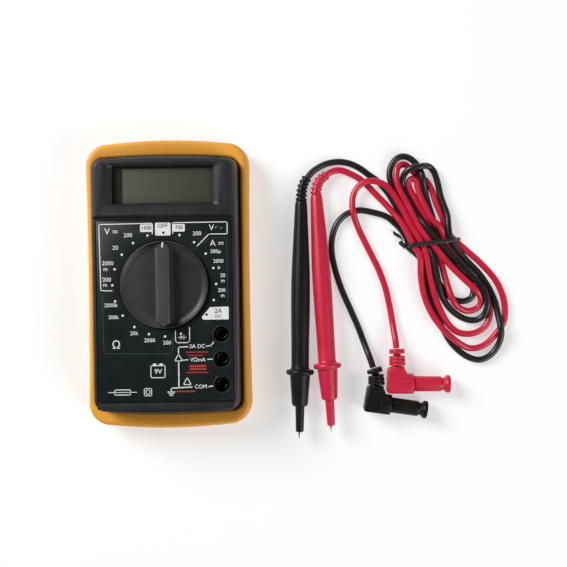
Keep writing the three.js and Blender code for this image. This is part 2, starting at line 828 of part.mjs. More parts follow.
function makeBoardParts() {
  const top = boardUnder - gap;
  const fuseY = -19;
  const fuseX = -4;
  const fuseZ = top - fuseRadius - 2.2;
  const half = fuseLength / 2;
  const fuse = join(
    bar([fuseX - half, fuseY, fuseZ], [fuseX + half, fuseY, fuseZ], fuseRadius - 0.25, small),
    bar([fuseX - half, fuseY, fuseZ], [fuseX - half + 5, fuseY, fuseZ], fuseRadius, small),
    bar([fuseX + half - 5, fuseY, fuseZ], [fuseX + half, fuseY, fuseZ], fuseRadius, small),
  );
  addMesh(object, "fuse", toGeometry(fuse), glassClear);
  for (const [side, word] of [
    [-1, "left"],
    [1, "right"],
  ]) {
    const x = fuseX + side * (half - 2.5);
    const shell = block(
      [x - 2, fuseY - fuseRadius - gap - 0.6, fuseZ - fuseRadius - 0.4],
      [x + 2, fuseY + fuseRadius + gap + 0.6, top],
    );
    const seat = bar([x - 3, fuseY, fuseZ], [x + 3, fuseY, fuseZ], fuseRadius + gap, small + 4);
    const mouth = block([x - 3, fuseY - 1.9, fuseZ - fuseRadius - 2], [x + 3, fuseY + 1.9, fuseZ]);
    addMesh(object, `fuse_clip_${word}`, toGeometry(cut(shell, seat, mouth)), nickel);
  }

  const shunt = [
    [12, -6, top],
    [12, -6, top - 4],
    [14, -6, top - 7],
    [18, -6, top - 7],
    [20, -6, top - 4],
    [20, -6, top],
  ];
  addMesh(object, "shunt_wire", tube(shunt, 0.7, 6, 16), brass);

  const blob = turned(
    [
      [0, top - 2],
      [3.5, top - 1.8],
      [5.8, top - 1],
      [7, top],
      [0, top],
    ],
    coarse,
  ).translate([-3, 15, 0]);
  addMesh(object, "converter_chip", toGeometry(blob), black);

  const trimmer = cut(
    rod(17, 16, top - 3.2, top, 3, small),
    block([16.5, 14, top - 4], [17.5, 18, top - 2.4]),
  );
  addMesh(object, "calibration_trimmer", toGeometry(trimmer), {
    color: 0x2f5fa8,
    roughness: 0.5,
    metalness: 0,
  });

  [
    [-20, 8],
    [-20, 16],
  ].forEach(([x, y], i) => {
    const capacitor = loft(
      [
        [top - 6.5, 0.5],
        [top - 6, 0],
        [top - 0.5, 0],
        [top, 0.4],
      ].map(([height, inset]) => ({
        height,
        points: outline(7 - 2 * inset, 3 - 2 * inset, 0.8, 0, 0, 2),
      })),
    ).translate([x, y, 0]);
    addMesh(object, `film_capacitor_${i + 1}`, toGeometry(capacitor), {
      color: 0x9a3b2a,
      roughness: 0.4,
      metalness: 0,
    });
  });

  const can = bar([-24, -6, top - 2.8], [-16, -6, top - 2.8], 2.5, small);
  addMesh(object, "electrolytic_capacitor", toGeometry(can), {
    color: 0x2a3550,
    roughness: 0.4,
    metalness: 0,
  });
}

// A probe lies on its guard and the thick of its handle. In its own frame it points along -Y,
// with the guard at the origin.
const probeProfile = [
  [0, 14],
  [needleRadius + gap, 14],
  [needleRadius + gap, -29],
  [2, -29],
  [2.25, -16.8],
  [3.3, -16.8],
  [3.9, -16.1],
  [4.9, -1.3],
  [guardRadius - 0.8, -1.3],
  [guardRadius, -0.6],
  [guardRadius, 0.6],
  [guardRadius - 0.8, 1.3],
  [4.3, 1.3],
  [4.3, 14],
  [4.7, 32],
  [4.6, 48],
  [3.8, 66],
  [2.9, probeTail - 1],
  [2.6, probeTail],
  [0, probeTail],
];
const needleProfile = [
  [0, -32.3],
  [needleRadius, -30.6],
  [needleRadius, 13],
  [0, 13],
];
const handleDrop = 0.0475; // slope of a probe's axis towards its tail

function makeProbe(colour, look, x, y, heading, reliefPath) {
  const probe = new THREE.Group();
  probe.position.set(x, y, guardRadius + 0.1);
  probe.rotation.order = "ZXY";
  probe.rotation.set(-Math.atan(handleDrop), 0, heading);
  object.add(probe);
  const body = turnedAlongY(probeProfile, coarse - 4);
  const needle = turnedAlongY(needleProfile, 10);
  addMesh(probe, `probe_${colour}_handle`, toGeometry(body), look);
  addMesh(probe, `probe_${colour}_needle`, toGeometry(needle), nickel);
  addMesh(object, `probe_${colour}_strain_relief`, tube(reliefPath, reliefRadius, 10, 7), look);
}

// A plug lies flat with its pin along +X and its strain relief along +Y, in its own frame.
function makePlug(colour, look, x, y, heading) {
  const plug = new THREE.Group();
  plug.position.set(x, y, collarRadius + 0.1);
  plug.rotation.z = heading;
  object.add(plug);
  const collarEnd = 8.5;
  const pinEnd = 24.7;
  const capEnd = 26.4;
  const housing = loft(
    [
      [-4.5, 0.9],
      [-3.6, 0],
      [3.6, 0],
      [4.5, 0.9],
    ].map(([height, inset]) => ({
      height,
      points: [
        [-4.6 + inset, -5 + inset],
        [8.2 - inset, -5 + inset],
        [8.2 - inset, 3.6 - inset],
        [4.7 - inset, 5 - inset],
        [3.9 - inset, 7.7],
        [-4.2 + inset, 7.7],
      ].map((point) => new THREE.Vector2(...point)),
    })),
  );
  const collar = bar([3, 0, 0], [collarEnd, 0, 0], collarRadius, coarse - 4);
  const relief = turnedAlongY(
    [
      [0, 7],
      [3.4, 7],
      [3.4, 8.3],
      [2, 8.3],
      [2, 9],
      [4.1, 9],
      [4, 13.2],
      [1.9, 13.2],
      [1.9, 14.9],
      [3.9, 14.9],
      [3.8, 17],
      [0, 17],
    ],
    small + 2,
  );
  const socket = bar([2, 0, 0], [collarEnd + 1, 0, 0], pinRadius + gap, small);
  const body = cut(join(housing, collar, relief), socket);
  addMesh(plug, `plug_${colour}_body`, toGeometry(body), look);

  const pin = join(
    bar([2 + gap, 0, 0], [collarEnd + 4, 0, 0], pinRadius, small),
    bar([collarEnd + 3, 0, 0], [pinEnd, 0, 0], pinRadius - 0.35, small),
  );
  addMesh(plug, `plug_${colour}_pin`, toGeometry(pin), nickel);

  // The transport cap slides off the pin.
  const neck = capEnd - 3.6;
  const capProfile = [
    [capRadius - capWall, collarEnd + gap],
    [capRadius, collarEnd + gap],
    [capRadius, neck - 0.8],
    [capRadius - 0.8, neck],
    [capRadius - 0.6, neck + 0.8],
    [capRadius + 0.6, neck + 2.2],
    [capRadius + 0.5, capEnd],
    [0, capEnd],
    [0, pinEnd + gap],
    [capRadius - capWall, pinEnd + gap],
    [capRadius - capWall, collarEnd + gap],
  ];
  const cap = turnedAlongY(capProfile, coarse - 4).rotate([0, 0, -90]);
  addMesh(plug, `plug_${colour}_cap`, toGeometry(cap), look);
}

// The hank: both cords folded together, pinched by the tie, with a loop at each end.
const hankTie = [129, 20.5, 11.2];
const hankTop = [121.6, 47.8, 14.2];
const hankMiddle = [146.8, -13, 20];
const hankBottom = [151.5, -28, 12.8];

// The shape of two circles with a band drawn round them.
function band([x1, y1, r1], [x2, y2, r2], grow, low, high) {
  const [wide, near] = [r1 + grow, r2 + grow];
  const distance = Math.hypot(x2 - x1, y2 - y1);
  const way = Math.atan2(y2 - y1, x2 - x1);
  const lean = Math.acos((wide - near) / distance);
  const shape = new THREE.Shape();
  shape.absarc(x1, y1, wide, way + lean, way - lean + 2 * Math.PI, false);
  shape.absarc(x2, y2, near, way - lean, way + lean, false);
  const points = shape.getPoints(12);
  const clean = points.filter((p, i) => i === 0 || p.distanceTo(points[i - 1]) > 0.01);
  if (clean[0].distanceTo(clean.at(-1)) < 0.01) clean.pop();
  return loft([
    { height: low, points: clean },
    { height: high, points: clean },
  ]);
}

const hankSolid = (grow, low, high) =>
  join(
    band(hankTop, hankTie, grow, low, high),
    band(hankMiddle, hankTie, grow, low, high),
    band(hankMiddle, hankBottom, grow, low, high),
  );

const onTable = cordRadius + 0.15; // height of a cord's middle where it lies on the surface
const over = onTable + 2 * cordRadius + gap; // and where it passes over another

// Routes from the strain reliefs to the hank.
const blackReliefPath = [
  [64.95, 40.9, 3.1],
  [65.3, 45.5, 2.9],
  [67.2, 50.3, 2.6],
];
const redReliefPath = [
  [72.3, 43.9, 3.1],
  [72.9, 47.6, 2.9],
  [76.3, 51.9, 2.6],
];
const blackProbeCord = [
  [67.45, 50.75, 2.5],
  [69.2, 53, 2.2],
  [72, 55.6, onTable],
  [77.4, 58.4, onTable],
  [83.5, 59.4, onTable],
  [89, 58.6, onTable],
  [94, 56.4, onTable],
  [98.8, 53, onTable],
  [103.6, 49.2, onTable],
  [109.5, 43.8, onTable],
];
const redProbeCord = [
  [76.85, 52.3, 2.5],
  [80.4, 54.5, 2.2],
  [84.6, 55.1, onTable],
  [88.8, 53.7, onTable],
  [93.7, 51, onTable],
  [97.8, 47.9, onTable],
  [102.2, 44.3, onTable],
  [107, 40, onTable],
  [112.5, 34.6, onTable],
];
const redPlugCord = [
  [110.85, -33.1, 5.1],
  [110.8, -29.5, 4.6],
  [110.2, -25, 3.2],
  [109.6, -19.5, 2],
  [108.2, -12, onTable],
  [106, -3, onTable],
  [103, 5.5, onTable],
  [99.8, 12.3, onTable],
  [96.6, 18.8, onTable],
  [93.4, 25.4, 2.8],
  [91.1, 31, 4.6],
  [90, 35.6, over],
  [89.9, 40, over],
  [91.2, 44.9, over],
  [94.6, 48.5, over],
  [99.3, 49.8, over],
  [103.8, 48.4, over],
  [109.5, 43.9, over],
];
const blackPlugCord = [
  [101.3, -42.2, 5.1],
  [100.5, -38.3, 4.6],
  [98.6, -33.8, 3.2],
  [95.8, -29, 2],
  [92.6, -22.2, onTable],
  [88.3, -13, onTable],
  [84.5, -4, onTable],
  [81.4, 5.8, onTable],
  [79.8, 14.5, onTable],
  [80.2, 22.3, onTable],
  [82.8, 29, onTable],
  [87.4, 33.9, onTable],
  [93.6, 36.2, onTable],
  [100.5, 35.9, onTable],
  [107.3, 33.7, onTable],
  [115, 29.4, onTable],
];

// The tie goes round the hank, and its two ends stand off to the left.
const tiePath = [
  [109.8, 24.2, 1.8],
  [113, 21.4, 1.5],
  [116.4, 18.9, 1],
  [120, 18.8, 0.8],
  [129, 20, 0.8],
  [138, 21.6, 0.8],
  [140.7, 22.2, 2],
  [141.6, 22.4, 5],
  [140.6, 22.2, 8.4],
  [138, 21.8, 9.8],
  [129, 20.4, 10],
  [120, 19.2, 9.6],
  [117, 18.6, 7.4],
  [116.1, 17.8, 4.6],
  [116.6, 15.8, 2.6],
  [118, 13.4, 1.3],
];

function makeLeads() {
  makeProbe("black", black, 63.2, -44, -0.02, blackReliefPath);
  makeProbe("red", red, 76.6, -41.1, 0.05, redReliefPath);
  makePlug("black", black, 99.3, -59.7, -0.12);
  makePlug("red", red, 110.5, -50.5, -0.02);

  const clear = hankSolid(gap, -1, hankHeight + 3);
  const cords = [
    ["cord_black_probe_end", black, blackProbeCord, 13],
    ["cord_red_probe_end", red, redProbeCord, 12],
    ["cord_red_plug_end", red, redPlugCord, 26],
    ["cord_black_plug_end", black, blackPlugCord, 24],
  ];
  for (const [name, look, points, steps] of cords) {
    const solid = toSolid(tube(points, cordRadius, cordSides, steps));
    addMesh(object, name, toGeometry(cut(solid, clear)), look);
  }

  const tieRoom = toSolid(tube(tiePath, tieRadius + gap, 6, 34));
  const hank = cut(hankSolid(0, 0.1, hankHeight), tieRoom);
  addMesh(object, "cord_hank", toGeometry(hank), red);
  addMesh(object, "twist_tie", tube(tiePath, tieRadius, 6, 34), black);
}

makeHolster();
makeRearShell();
makeFrontShell();
makeFacePlate();
makeDisplay();
makeDial();
makeJacks();
makeBoard();
makeScrews();
makeBattery();
makeBoardParts();
makeLeads();

export default object;
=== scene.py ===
import math

import bmesh
import bpy
import numpy as np
from mathutils import Matrix, Vector


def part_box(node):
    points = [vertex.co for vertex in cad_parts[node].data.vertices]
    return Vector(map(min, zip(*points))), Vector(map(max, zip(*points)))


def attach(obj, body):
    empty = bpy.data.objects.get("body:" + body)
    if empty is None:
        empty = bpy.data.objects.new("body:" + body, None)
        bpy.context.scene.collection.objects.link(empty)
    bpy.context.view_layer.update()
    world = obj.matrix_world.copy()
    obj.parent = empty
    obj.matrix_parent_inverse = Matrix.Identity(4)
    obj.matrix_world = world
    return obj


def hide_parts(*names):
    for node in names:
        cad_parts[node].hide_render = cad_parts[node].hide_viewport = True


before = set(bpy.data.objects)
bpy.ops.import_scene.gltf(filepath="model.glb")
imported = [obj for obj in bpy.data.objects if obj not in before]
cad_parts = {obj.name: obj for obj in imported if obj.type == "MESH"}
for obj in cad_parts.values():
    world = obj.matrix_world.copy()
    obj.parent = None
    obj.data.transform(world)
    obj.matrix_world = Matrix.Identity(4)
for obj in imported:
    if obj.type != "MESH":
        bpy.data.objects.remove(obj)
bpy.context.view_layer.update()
scene = bpy.context.scene
mm = 0.001

# The camera looks almost straight down on the meter and its leads.
cameraSizes = {"place": (0.0557, 0.0039, 0.45), "pitch": -0.0098, "roll": -0.0136, "lens": 57.4}


def addObject(name, data):
    obj = bpy.data.objects.new(name, data)
    scene.collection.objects.link(obj)
    return obj


def makeCamera():
    camera = addObject("camera", bpy.data.cameras.new("camera"))
    camera.location = cameraSizes["place"]
    camera.rotation_euler = (cameraSizes["pitch"], 0, cameraSizes["roll"])
    camera.data.lens = cameraSizes["lens"]
    camera.data.sensor_width = 36
    camera.data.clip_start = 0.01
    scene.camera = camera


makeCamera()

# Materials


def addNode(tree, kind, inputs=None, **settings):
    node = tree.nodes.new(kind)
    for key, value in settings.items():
        setattr(node, key, value)
    for key, value in (inputs or {}).items():
        if isinstance(value, bpy.types.NodeSocket):
            tree.links.new(value, node.inputs[key])
        else:
            node.inputs[key].default_value = value
    return node


def newMaterial(name, colour, roughness, **sockets):
    material = bpy.data.materials.new(name)
    material.use_nodes = True
    tree = material.node_tree
    shader = tree.nodes["Principled BSDF"]
    shader.inputs["Base Color"].default_value = (*colour, 1)
    shader.inputs["Roughness"].default_value = roughness
    for key, value in sockets.items():
        shader.inputs[key.replace("_", " ")].default_value = value
    return material, tree, shader


def noiseNode(tree, scale, detail=2.0, stretch=None):
    coordinates = addNode(tree, "ShaderNodeTexCoord").outputs["Object"]
    if stretch:
        mapping = addNode(tree, "ShaderNodeMapping", {"Vector": coordinates, "Scale": stretch})
        coordinates = mapping.outputs[0]
    return addNode(tree, "ShaderNodeTexNoise", {"Vector": coordinates, "Scale": scale, "Detail": detail})


# Where a spot is on its piece, as X, Y and Z.
def placeNode(tree, output="Object"):
    coordinates = addNode(tree, "ShaderNodeTexCoord").outputs[output]
    return addNode(tree, "ShaderNodeSeparateXYZ", {"Vector": coordinates})


# Clouding of the colour, handled patches in the gloss and a grain in the surface.
def finish(name, colour, roughness, other=None, cloud=60, grain=1800, depth=0.012, patch=0.06,
           stretch=None, **sockets):
    material, tree, shader = newMaterial(name, colour, roughness, **sockets)
    clouds = noiseNode(tree, cloud, 4)
    ramp = addNode(tree, "ShaderNodeValToRGB", {"Fac": clouds.outputs["Fac"]})
    ramp.color_ramp.elements[0].position = 0.32
    ramp.color_ramp.elements[1].position = 0.7
    ramp.color_ramp.elements[0].color = (*colour, 1)
    ramp.color_ramp.elements[1].color = (*(other or [min(1, c * 1.12) for c in colour]), 1)
    tree.links.new(ramp.outputs["Color"], shader.inputs["Base Color"])
    patches = noiseNode(tree, cloud * 2.7, 3)
    gloss = addNode(tree, "ShaderNodeMapRange", {
        "Value": patches.outputs["Fac"], "From Min": 0.3, "From Max": 0.7,
        "To Min": roughness - patch, "To Max": roughness + patch})
    tree.links.new(gloss.outputs[0], shader.inputs["Roughness"])
    grains = noiseNode(tree, grain, 2, stretch)
    bump = addNode(tree, "ShaderNodeBump", {
        "Height": grains.outputs["Fac"], "Strength": 1.0, "Distance": depth * mm})
    tree.links.new(bump.outputs["Normal"], shader.inputs["Normal"])
    return material


printGrain = {"cloud": 500, "grain": 3000, "depth": 0.004}
vinylGrain = {"cloud": 90, "grain": 900, "depth": 0.010}
mouldedGrain = {"cloud": 120, "grain": 2200, "depth": 0.008}
metalGrain = {"cloud": 300, "grain": 1500, "depth": 0.004, "Metallic": 1.0}

holsterRubber = finish("holsterRubber", (0.80, 0.345, 0.035), 0.50, (0.84, 0.385, 0.048), cloud=40,
                       grain=1500, depth=0.02, Specular_IOR_Level=0.35)
caseBlack = finish("caseBlack", (0.016, 0.016, 0.018), 0.46, (0.022, 0.022, 0.025), grain=2600,
                   depth=0.016, Specular_IOR_Level=0.35)
plateBlack = finish("plateBlack", (0.006, 0.0095, 0.0105), 0.42, (0.008, 0.012, 0.013), grain=3200,
                    depth=0.006, Specular_IOR_Level=0.3)
dialGrey = finish("dialGrey", (0.031, 0.031, 0.031), 0.44, (0.037, 0.037, 0.037), grain=2800,
                  depth=0.012)
markGreen = finish("markGreen", (0.022, 0.062, 0.034), 0.5, (0.018, 0.050, 0.028), **printGrain)
markWhite = finish("markWhite", (0.80, 0.82, 0.80), 0.5, (0.70, 0.72, 0.70), **printGrain)
markRed = finish("markRed", (0.42, 0.035, 0.03), 0.5, (0.34, 0.03, 0.025), **printGrain)
redVinyl = finish("redVinyl", (0.56, 0.012, 0.042), 0.34, (0.62, 0.016, 0.052), **vinylGrain,
                  Coat_Weight=0.15, Coat_Roughness=0.25)
blackVinyl = finish("blackVinyl", (0.009, 0.009, 0.009), 0.36, (0.014, 0.014, 0.013), **vinylGrain,
                    Coat_Weight=0.1, Coat_Roughness=0.3)
redMoulded = finish("redMoulded", (0.58, 0.012, 0.045), 0.38, (0.64, 0.018, 0.055), **mouldedGrain)
blackMoulded = finish("blackMoulded", (0.0045, 0.0045, 0.0045), 0.42, (0.007, 0.007, 0.007),
                      **mouldedGrain, Specular_IOR_Level=0.3)
nickel = finish("nickel", (0.62, 0.60, 0.56), 0.24, (0.70, 0.68, 0.64), stretch=(1, 0.05, 1),
                **metalGrain)
brass = finish("brass", (0.62, 0.43, 0.17), 0.28, (0.68, 0.49, 0.22), **metalGrain)
# the jack tubes' brass, darkened into a painted shade of the deep jack wells
shadedJackBrass = finish("shadedJackBrass", (0.20, 0.17, 0.11), 0.42, (0.15, 0.12, 0.08), **metalGrain)
tieBlack = finish("tieBlack", (0.012, 0.012, 0.010), 0.44, (0.022, 0.022, 0.018), cloud=260, grain=1500,
                  depth=0.03)
# cellDark: the black of the cell's edge and of the painted shadow round it
cellDark = finish("cellDark", (0.006, 0.006, 0.006), 0.35, (0.008, 0.008, 0.008))
boardGreen = finish("boardGreen", (0.02, 0.10, 0.035), 0.35, (0.026, 0.13, 0.045), cloud=150)
canPaint = finish("canPaint", (0.10, 0.09, 0.09), 0.35, (0.14, 0.12, 0.10), cloud=90)
lacquerRed = finish("lacquerRed", (0.26, 0.035, 0.02), 0.3)
sleeveBlue = finish("sleeveBlue", (0.02, 0.06, 0.22), 0.35)
greyRubber = finish("greyRubber", (0.10, 0.10, 0.11), 0.7)
clearPlastic = finish("clearPlastic", (0.04, 0.042, 0.04), 0.06, (0.05, 0.052, 0.05), cloud=20,
                      grain=300, depth=0.001, patch=0.02, Alpha=0.12)
fuseGlass = finish("fuseGlass", (0.8, 0.84, 0.82), 0.08, patch=0.03, depth=0.001, Alpha=0.4)
floorPale = finish("floorPale", (0.52, 0.52, 0.515), 0.7, (0.525, 0.525, 0.52), cloud=3, grain=60,
                   depth=0.01, Emission_Color=(1, 1, 1, 1), Emission_Strength=0.5)


# The cell has painted shade: it is lighter at its left end and darkens towards its right end, a fall-off
# of light painted across it.
def cellWithPaintedShade():
    material, tree, shader = newMaterial("cellGreen", (0.06, 0.066, 0.044), 0.32)
    place = placeNode(tree)
    # painted shade across the cell from left to right, with random clouding added to it
    across = addNode(tree, "ShaderNodeMapRange", {
        "Value": place.outputs["X"], "From Min": -0.018, "From Max": 0.024})
    clouds = noiseNode(tree, 25, 3)
    both = addNode(tree, "ShaderNodeMath", {0: clouds.outputs["Fac"], 1: 0.35}, operation="MULTIPLY")
    paintedFalloff = addNode(tree, "ShaderNodeMath", {0: across.outputs[0], 1: both.outputs[0]}, operation="ADD")
    ramp = addNode(tree, "ShaderNodeValToRGB", {"Fac": paintedFalloff.outputs[0]})
    ramp.color_ramp.elements[0].color = (0.160, 0.166, 0.115, 1)
    ramp.color_ramp.elements[1].color = (0.074, 0.080, 0.052, 1)
    tree.links.new(ramp.outputs["Color"], shader.inputs["Base Color"])
    return material


cellGreen = cellWithPaintedShade()


# Painted light on the dial: the grip is painted lighter along its top as a highlight, and the disc is
# painted darker to the right as shade.
def paintLightOnDial():
    tree = dialGrey.node_tree
    place = placeNode(tree)
    # painted highlight along the grip's top
    paintedHighlight = addNode(tree, "ShaderNodeMapRange", {
        "Value": place.outputs["Z"], "From Min": 0.0338, "From Max": 0.0348,
        "To Min": 1.0, "To Max": 1.45})
    # painted shade on the disc's right side
    paintedShade = addNode(tree, "ShaderNodeMapRange", {
        "Value": place.outputs["X"], "From Min": 0.002, "From Max": 0.012,
        "To Min": 1.0, "To Max": 0.6})
    both = addNode(tree, "ShaderNodeMath", {0: paintedHighlight.outputs[0], 1: paintedShade.outputs[0]},
                   operation="MULTIPLY")
    shader = tree.nodes["Principled BSDF"]
    colour = shader.inputs["Base Color"].links[0].from_socket
    shaded = addNode(tree, "ShaderNodeVectorMath", {0: colour, "Scale": both.outputs[0]},
                     operation="SCALE")
    tree.links.new(shaded.outputs[0], shader.inputs["Base Color"])


paintLightOnDial()

# What the CAD nodes that stay in view take.
nodeFinishes = {
    "display_window": clearPlastic, "display_cell": cellGreen, "display_holder": caseBlack,
    "display_contact_strip": greyRubber, "circuit_board": boardGreen, "nine_volt_battery": canPaint,
    "battery_snap": blackMoulded, "battery_wire_red": redVinyl, "battery_wire_black": blackVinyl,
    "fuse": fuseGlass, "converter_chip": blackMoulded, "calibration_trimmer": sleeveBlue,
    "electrolytic_capacitor": sleeveBlue, "shunt_wire": brass,
}


def finishNodes():
    for name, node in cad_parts.items():
        look = nodeFinishes.get(name)
        if look is None:
            if name.startswith("film_capacitor"):
                look = lacquerRed
            elif name.startswith(("contact_spring", "jack_")):
                look = brass
            elif name.startswith(("board_screw", "case_screw", "detent", "fuse_clip")):
                look = nickel
            else:
                look = caseBlack
        node.data.materials.clear()
        node.data.materials.append(look)


finishNodes()
print("materials made")

# Mesh helpers


def addMesh(name, points, faces):
    mesh = bpy.data.meshes.new(name)
    mesh.from_pydata([tuple(p) for p in points], [], faces)
    mesh.update()
    return addObject(name, mesh)


# Doubles merged, normals out, smooth faces with sharp edges above an angle.
def tidyMesh(obj, angle=32, merge=1e-7):
    shape = bmesh.new()
    shape.from_mesh(obj.data)
    bmesh.ops.remove_doubles(shape, verts=shape.verts, dist=merge)
    bmesh.ops.recalc_face_normals(shape, faces=shape.faces)
    shape.to_mesh(obj.data)
    shape.free()
    for face in obj.data.polygons:
        face.use_smooth = True
    obj.data.set_sharp_from_angle(angle=math.radians(angle))


def giveLook(obj, look, body, replaces=(), angle=32, clean=True):
    if clean:
        tidyMesh(obj, angle)
    obj.data.materials.clear()
    obj.data.materials.append(look)
    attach(obj, body)
    if replaces:
        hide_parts(*replaces)
    return obj


# A modifier's result as a plain mesh.
def bakeModifiers(obj):
    bpy.context.view_layer.update()
    graph = bpy.context.evaluated_depsgraph_get()
    made = bpy.data.meshes.new_from_object(obj.evaluated_get(graph))
    obj.modifiers.clear()
    obj.data = made
    return obj


def combine(obj, others, how):
    for other in others:
        tidyMesh(other)
        modifier = obj.modifiers.new("cut", "BOOLEAN")
        modifier.object = other
        modifier.operation = how
        modifier.solver = "EXACT"
        bakeModifiers(obj)
        bpy.data.objects.remove(other)
    return obj


def joinMeshes(name, objects):
    shape = bmesh.new()
    for obj in objects:
        obj.data.transform(obj.matrix_world)
        shape.from_mesh(obj.data)
        bpy.data.objects.remove(obj)
    mesh = bpy.data.meshes.new(name)
    shape.to_mesh(mesh)
    shape.free()
    return addObject(name, mesh)


# The outline of a rounded rectangle whose ends bow out and whose sides may draw in at the waist.
def outline(width, length, corner, arch=0.0, waist=0.0, fineness=10):
    x, y = width / 2, length / 2
    flat = y - arch
    pull = corner * (1 - 0.5523)
    sides = [
        [(-x + corner, -flat), (0, -flat - 2 * arch), (x - corner, -flat)],
        [(x - corner, -flat), (x - pull, -flat), (x, -flat + pull), (x, -flat + corner)],
        [(x, -flat + corner), (x - 2 * waist, 0), (x, flat - corner)],
        [(x, flat - corner), (x, flat - pull), (x - pull, flat), (x - corner, flat)],
        [(x - corner, flat), (0, flat + 2 * arch), (-x + corner, flat)],
        [(-x + corner, flat), (-x + pull, flat), (-x, flat - pull), (-x, flat - corner)],
        [(-x, flat - corner), (-x + 2 * waist, 0), (-x, -flat + corner)],
        [(-x, -flat + corner), (-x, -flat + pull), (-x + pull, -flat), (-x + corner, -flat)],
    ]
    points = []
    for side in sides:
        side = [Vector(p) for p in side]
        for step in range(fineness):
            t, row = step / fineness, side
            while len(row) > 1:
                row = [a.lerp(b, t) for a, b in zip(row, row[1:])]
            points.append(row[0])
    return points


# A solid through outlines with the same number of points, lowest first. Sizes are in millimetres.
def loft(name, levels, shift=(0, 0)):
    count = len(levels[0][1])
    points = [((p[0] + shift[0]) * mm, (p[1] + shift[1]) * mm, height * mm)
              for height, outlinePoints in levels for p in outlinePoints]
    faces = [list(range(count))[::-1], [(len(levels) - 1) * count + i for i in range(count)]]
    for level in range(len(levels) - 1):
        for i in range(count):
            a, b = level * count + i, level * count + (i + 1) % count
            faces.append([a, b, b + count, a + count])
    return addMesh(name, points, faces)


# Levels for a loft: a rounded rectangle drawn in by an inset at each height.
def insetLevels(width, length, corner, steps, arch=0.0):
    return [(height, outline(width - 2 * inset, length - 2 * inset, corner, arch))
            for height, inset in steps]


# A profile of (radius, along) turned round an axis. A third number rounds that corner.
def turned(name, profile, place, sides=48):
    rounded = []
    for i, point in enumerate(profile):
        soft = point[2] if len(point) > 2 else 0
        here = Vector(point[:2])
        if not soft or i in (0, len(profile) - 1):
            rounded.append(here)
            continue
        before, after = Vector(profile[i - 1][:2]) - here, Vector(profile[i + 1][:2]) - here
        start = here + before.normalized() * min(soft, before.length * 0.49)
        end = here + after.normalized() * min(soft, after.length * 0.49)
        for step in range(5):
            t = step / 4
            rounded.append(start.lerp(here, t).lerp(here.lerp(end, t), t))
    points, rings, faces = [], [], []
    for radius, along in rounded:
        ring = []
        for i in range(sides if radius > 1e-6 else 1):
            angle = 2 * math.pi * i / sides
            ring.append(len(points))
            points.append(place @ Vector((radius * math.cos(angle) * mm, along * mm,
                                          radius * math.sin(angle) * mm)))
        rings.append(ring)
    for ring, after in zip(rings, rings[1:]):
        for i in range(sides):
            j = (i + 1) % sides
            face = [ring[i % len(ring)], ring[j % len(ring)],
                    after[j % len(after)], after[i % len(after)]]
            face = [v for n, v in enumerate(face) if v not in face[:n]]
            if len(face) > 2:
                faces.append(face)
    return addMesh(name, points, faces)


upright = Matrix.Rotation(math.pi / 2, 4, "X")  # turns a profile's axis from Y to Z


def cylinder(x, y, foot, top, radius, sides=64):
    place = Matrix.Translation((x * mm, y * mm, 0)) @ upright
    return turned("cutter", [(0, foot), (radius, foot), (radius, top), (0, top)], place, sides)


# An upright pipe with a square section, between two radii and two heights.
def pipe(name, x, y, inner, outer, foot, top, sides=64, soft=0):
    place = Matrix.Translation((x * mm, y * mm, 0)) @ upright
    return turned(name, [(inner, foot), (outer, foot), (outer, top, soft), (inner, top, soft),
                         (inner, foot)], place, sides)


# Cords: routes, then settling

cordSizes = {"radius": 1.6, "spacing": 1.6, "apart": 3.24, "rest": 1.63, "bend": 4.5}
tieSizes = {"centre": (128.9, 20.4), "across": (0.94, 0.342), "along": (0.342, -0.94)}
low, over = 1.7, 5.1  # heights of the lower and the upper layer of the hank


# A place in the tie: how far across it, how far along it towards the long loops, and a height.
def inTie(across, along, height):
    centre = Vector(tieSizes["centre"])
    place = centre + across * Vector(tieSizes["across"]) + along * Vector(tieSizes["along"])
    return (place.x, place.y, height)


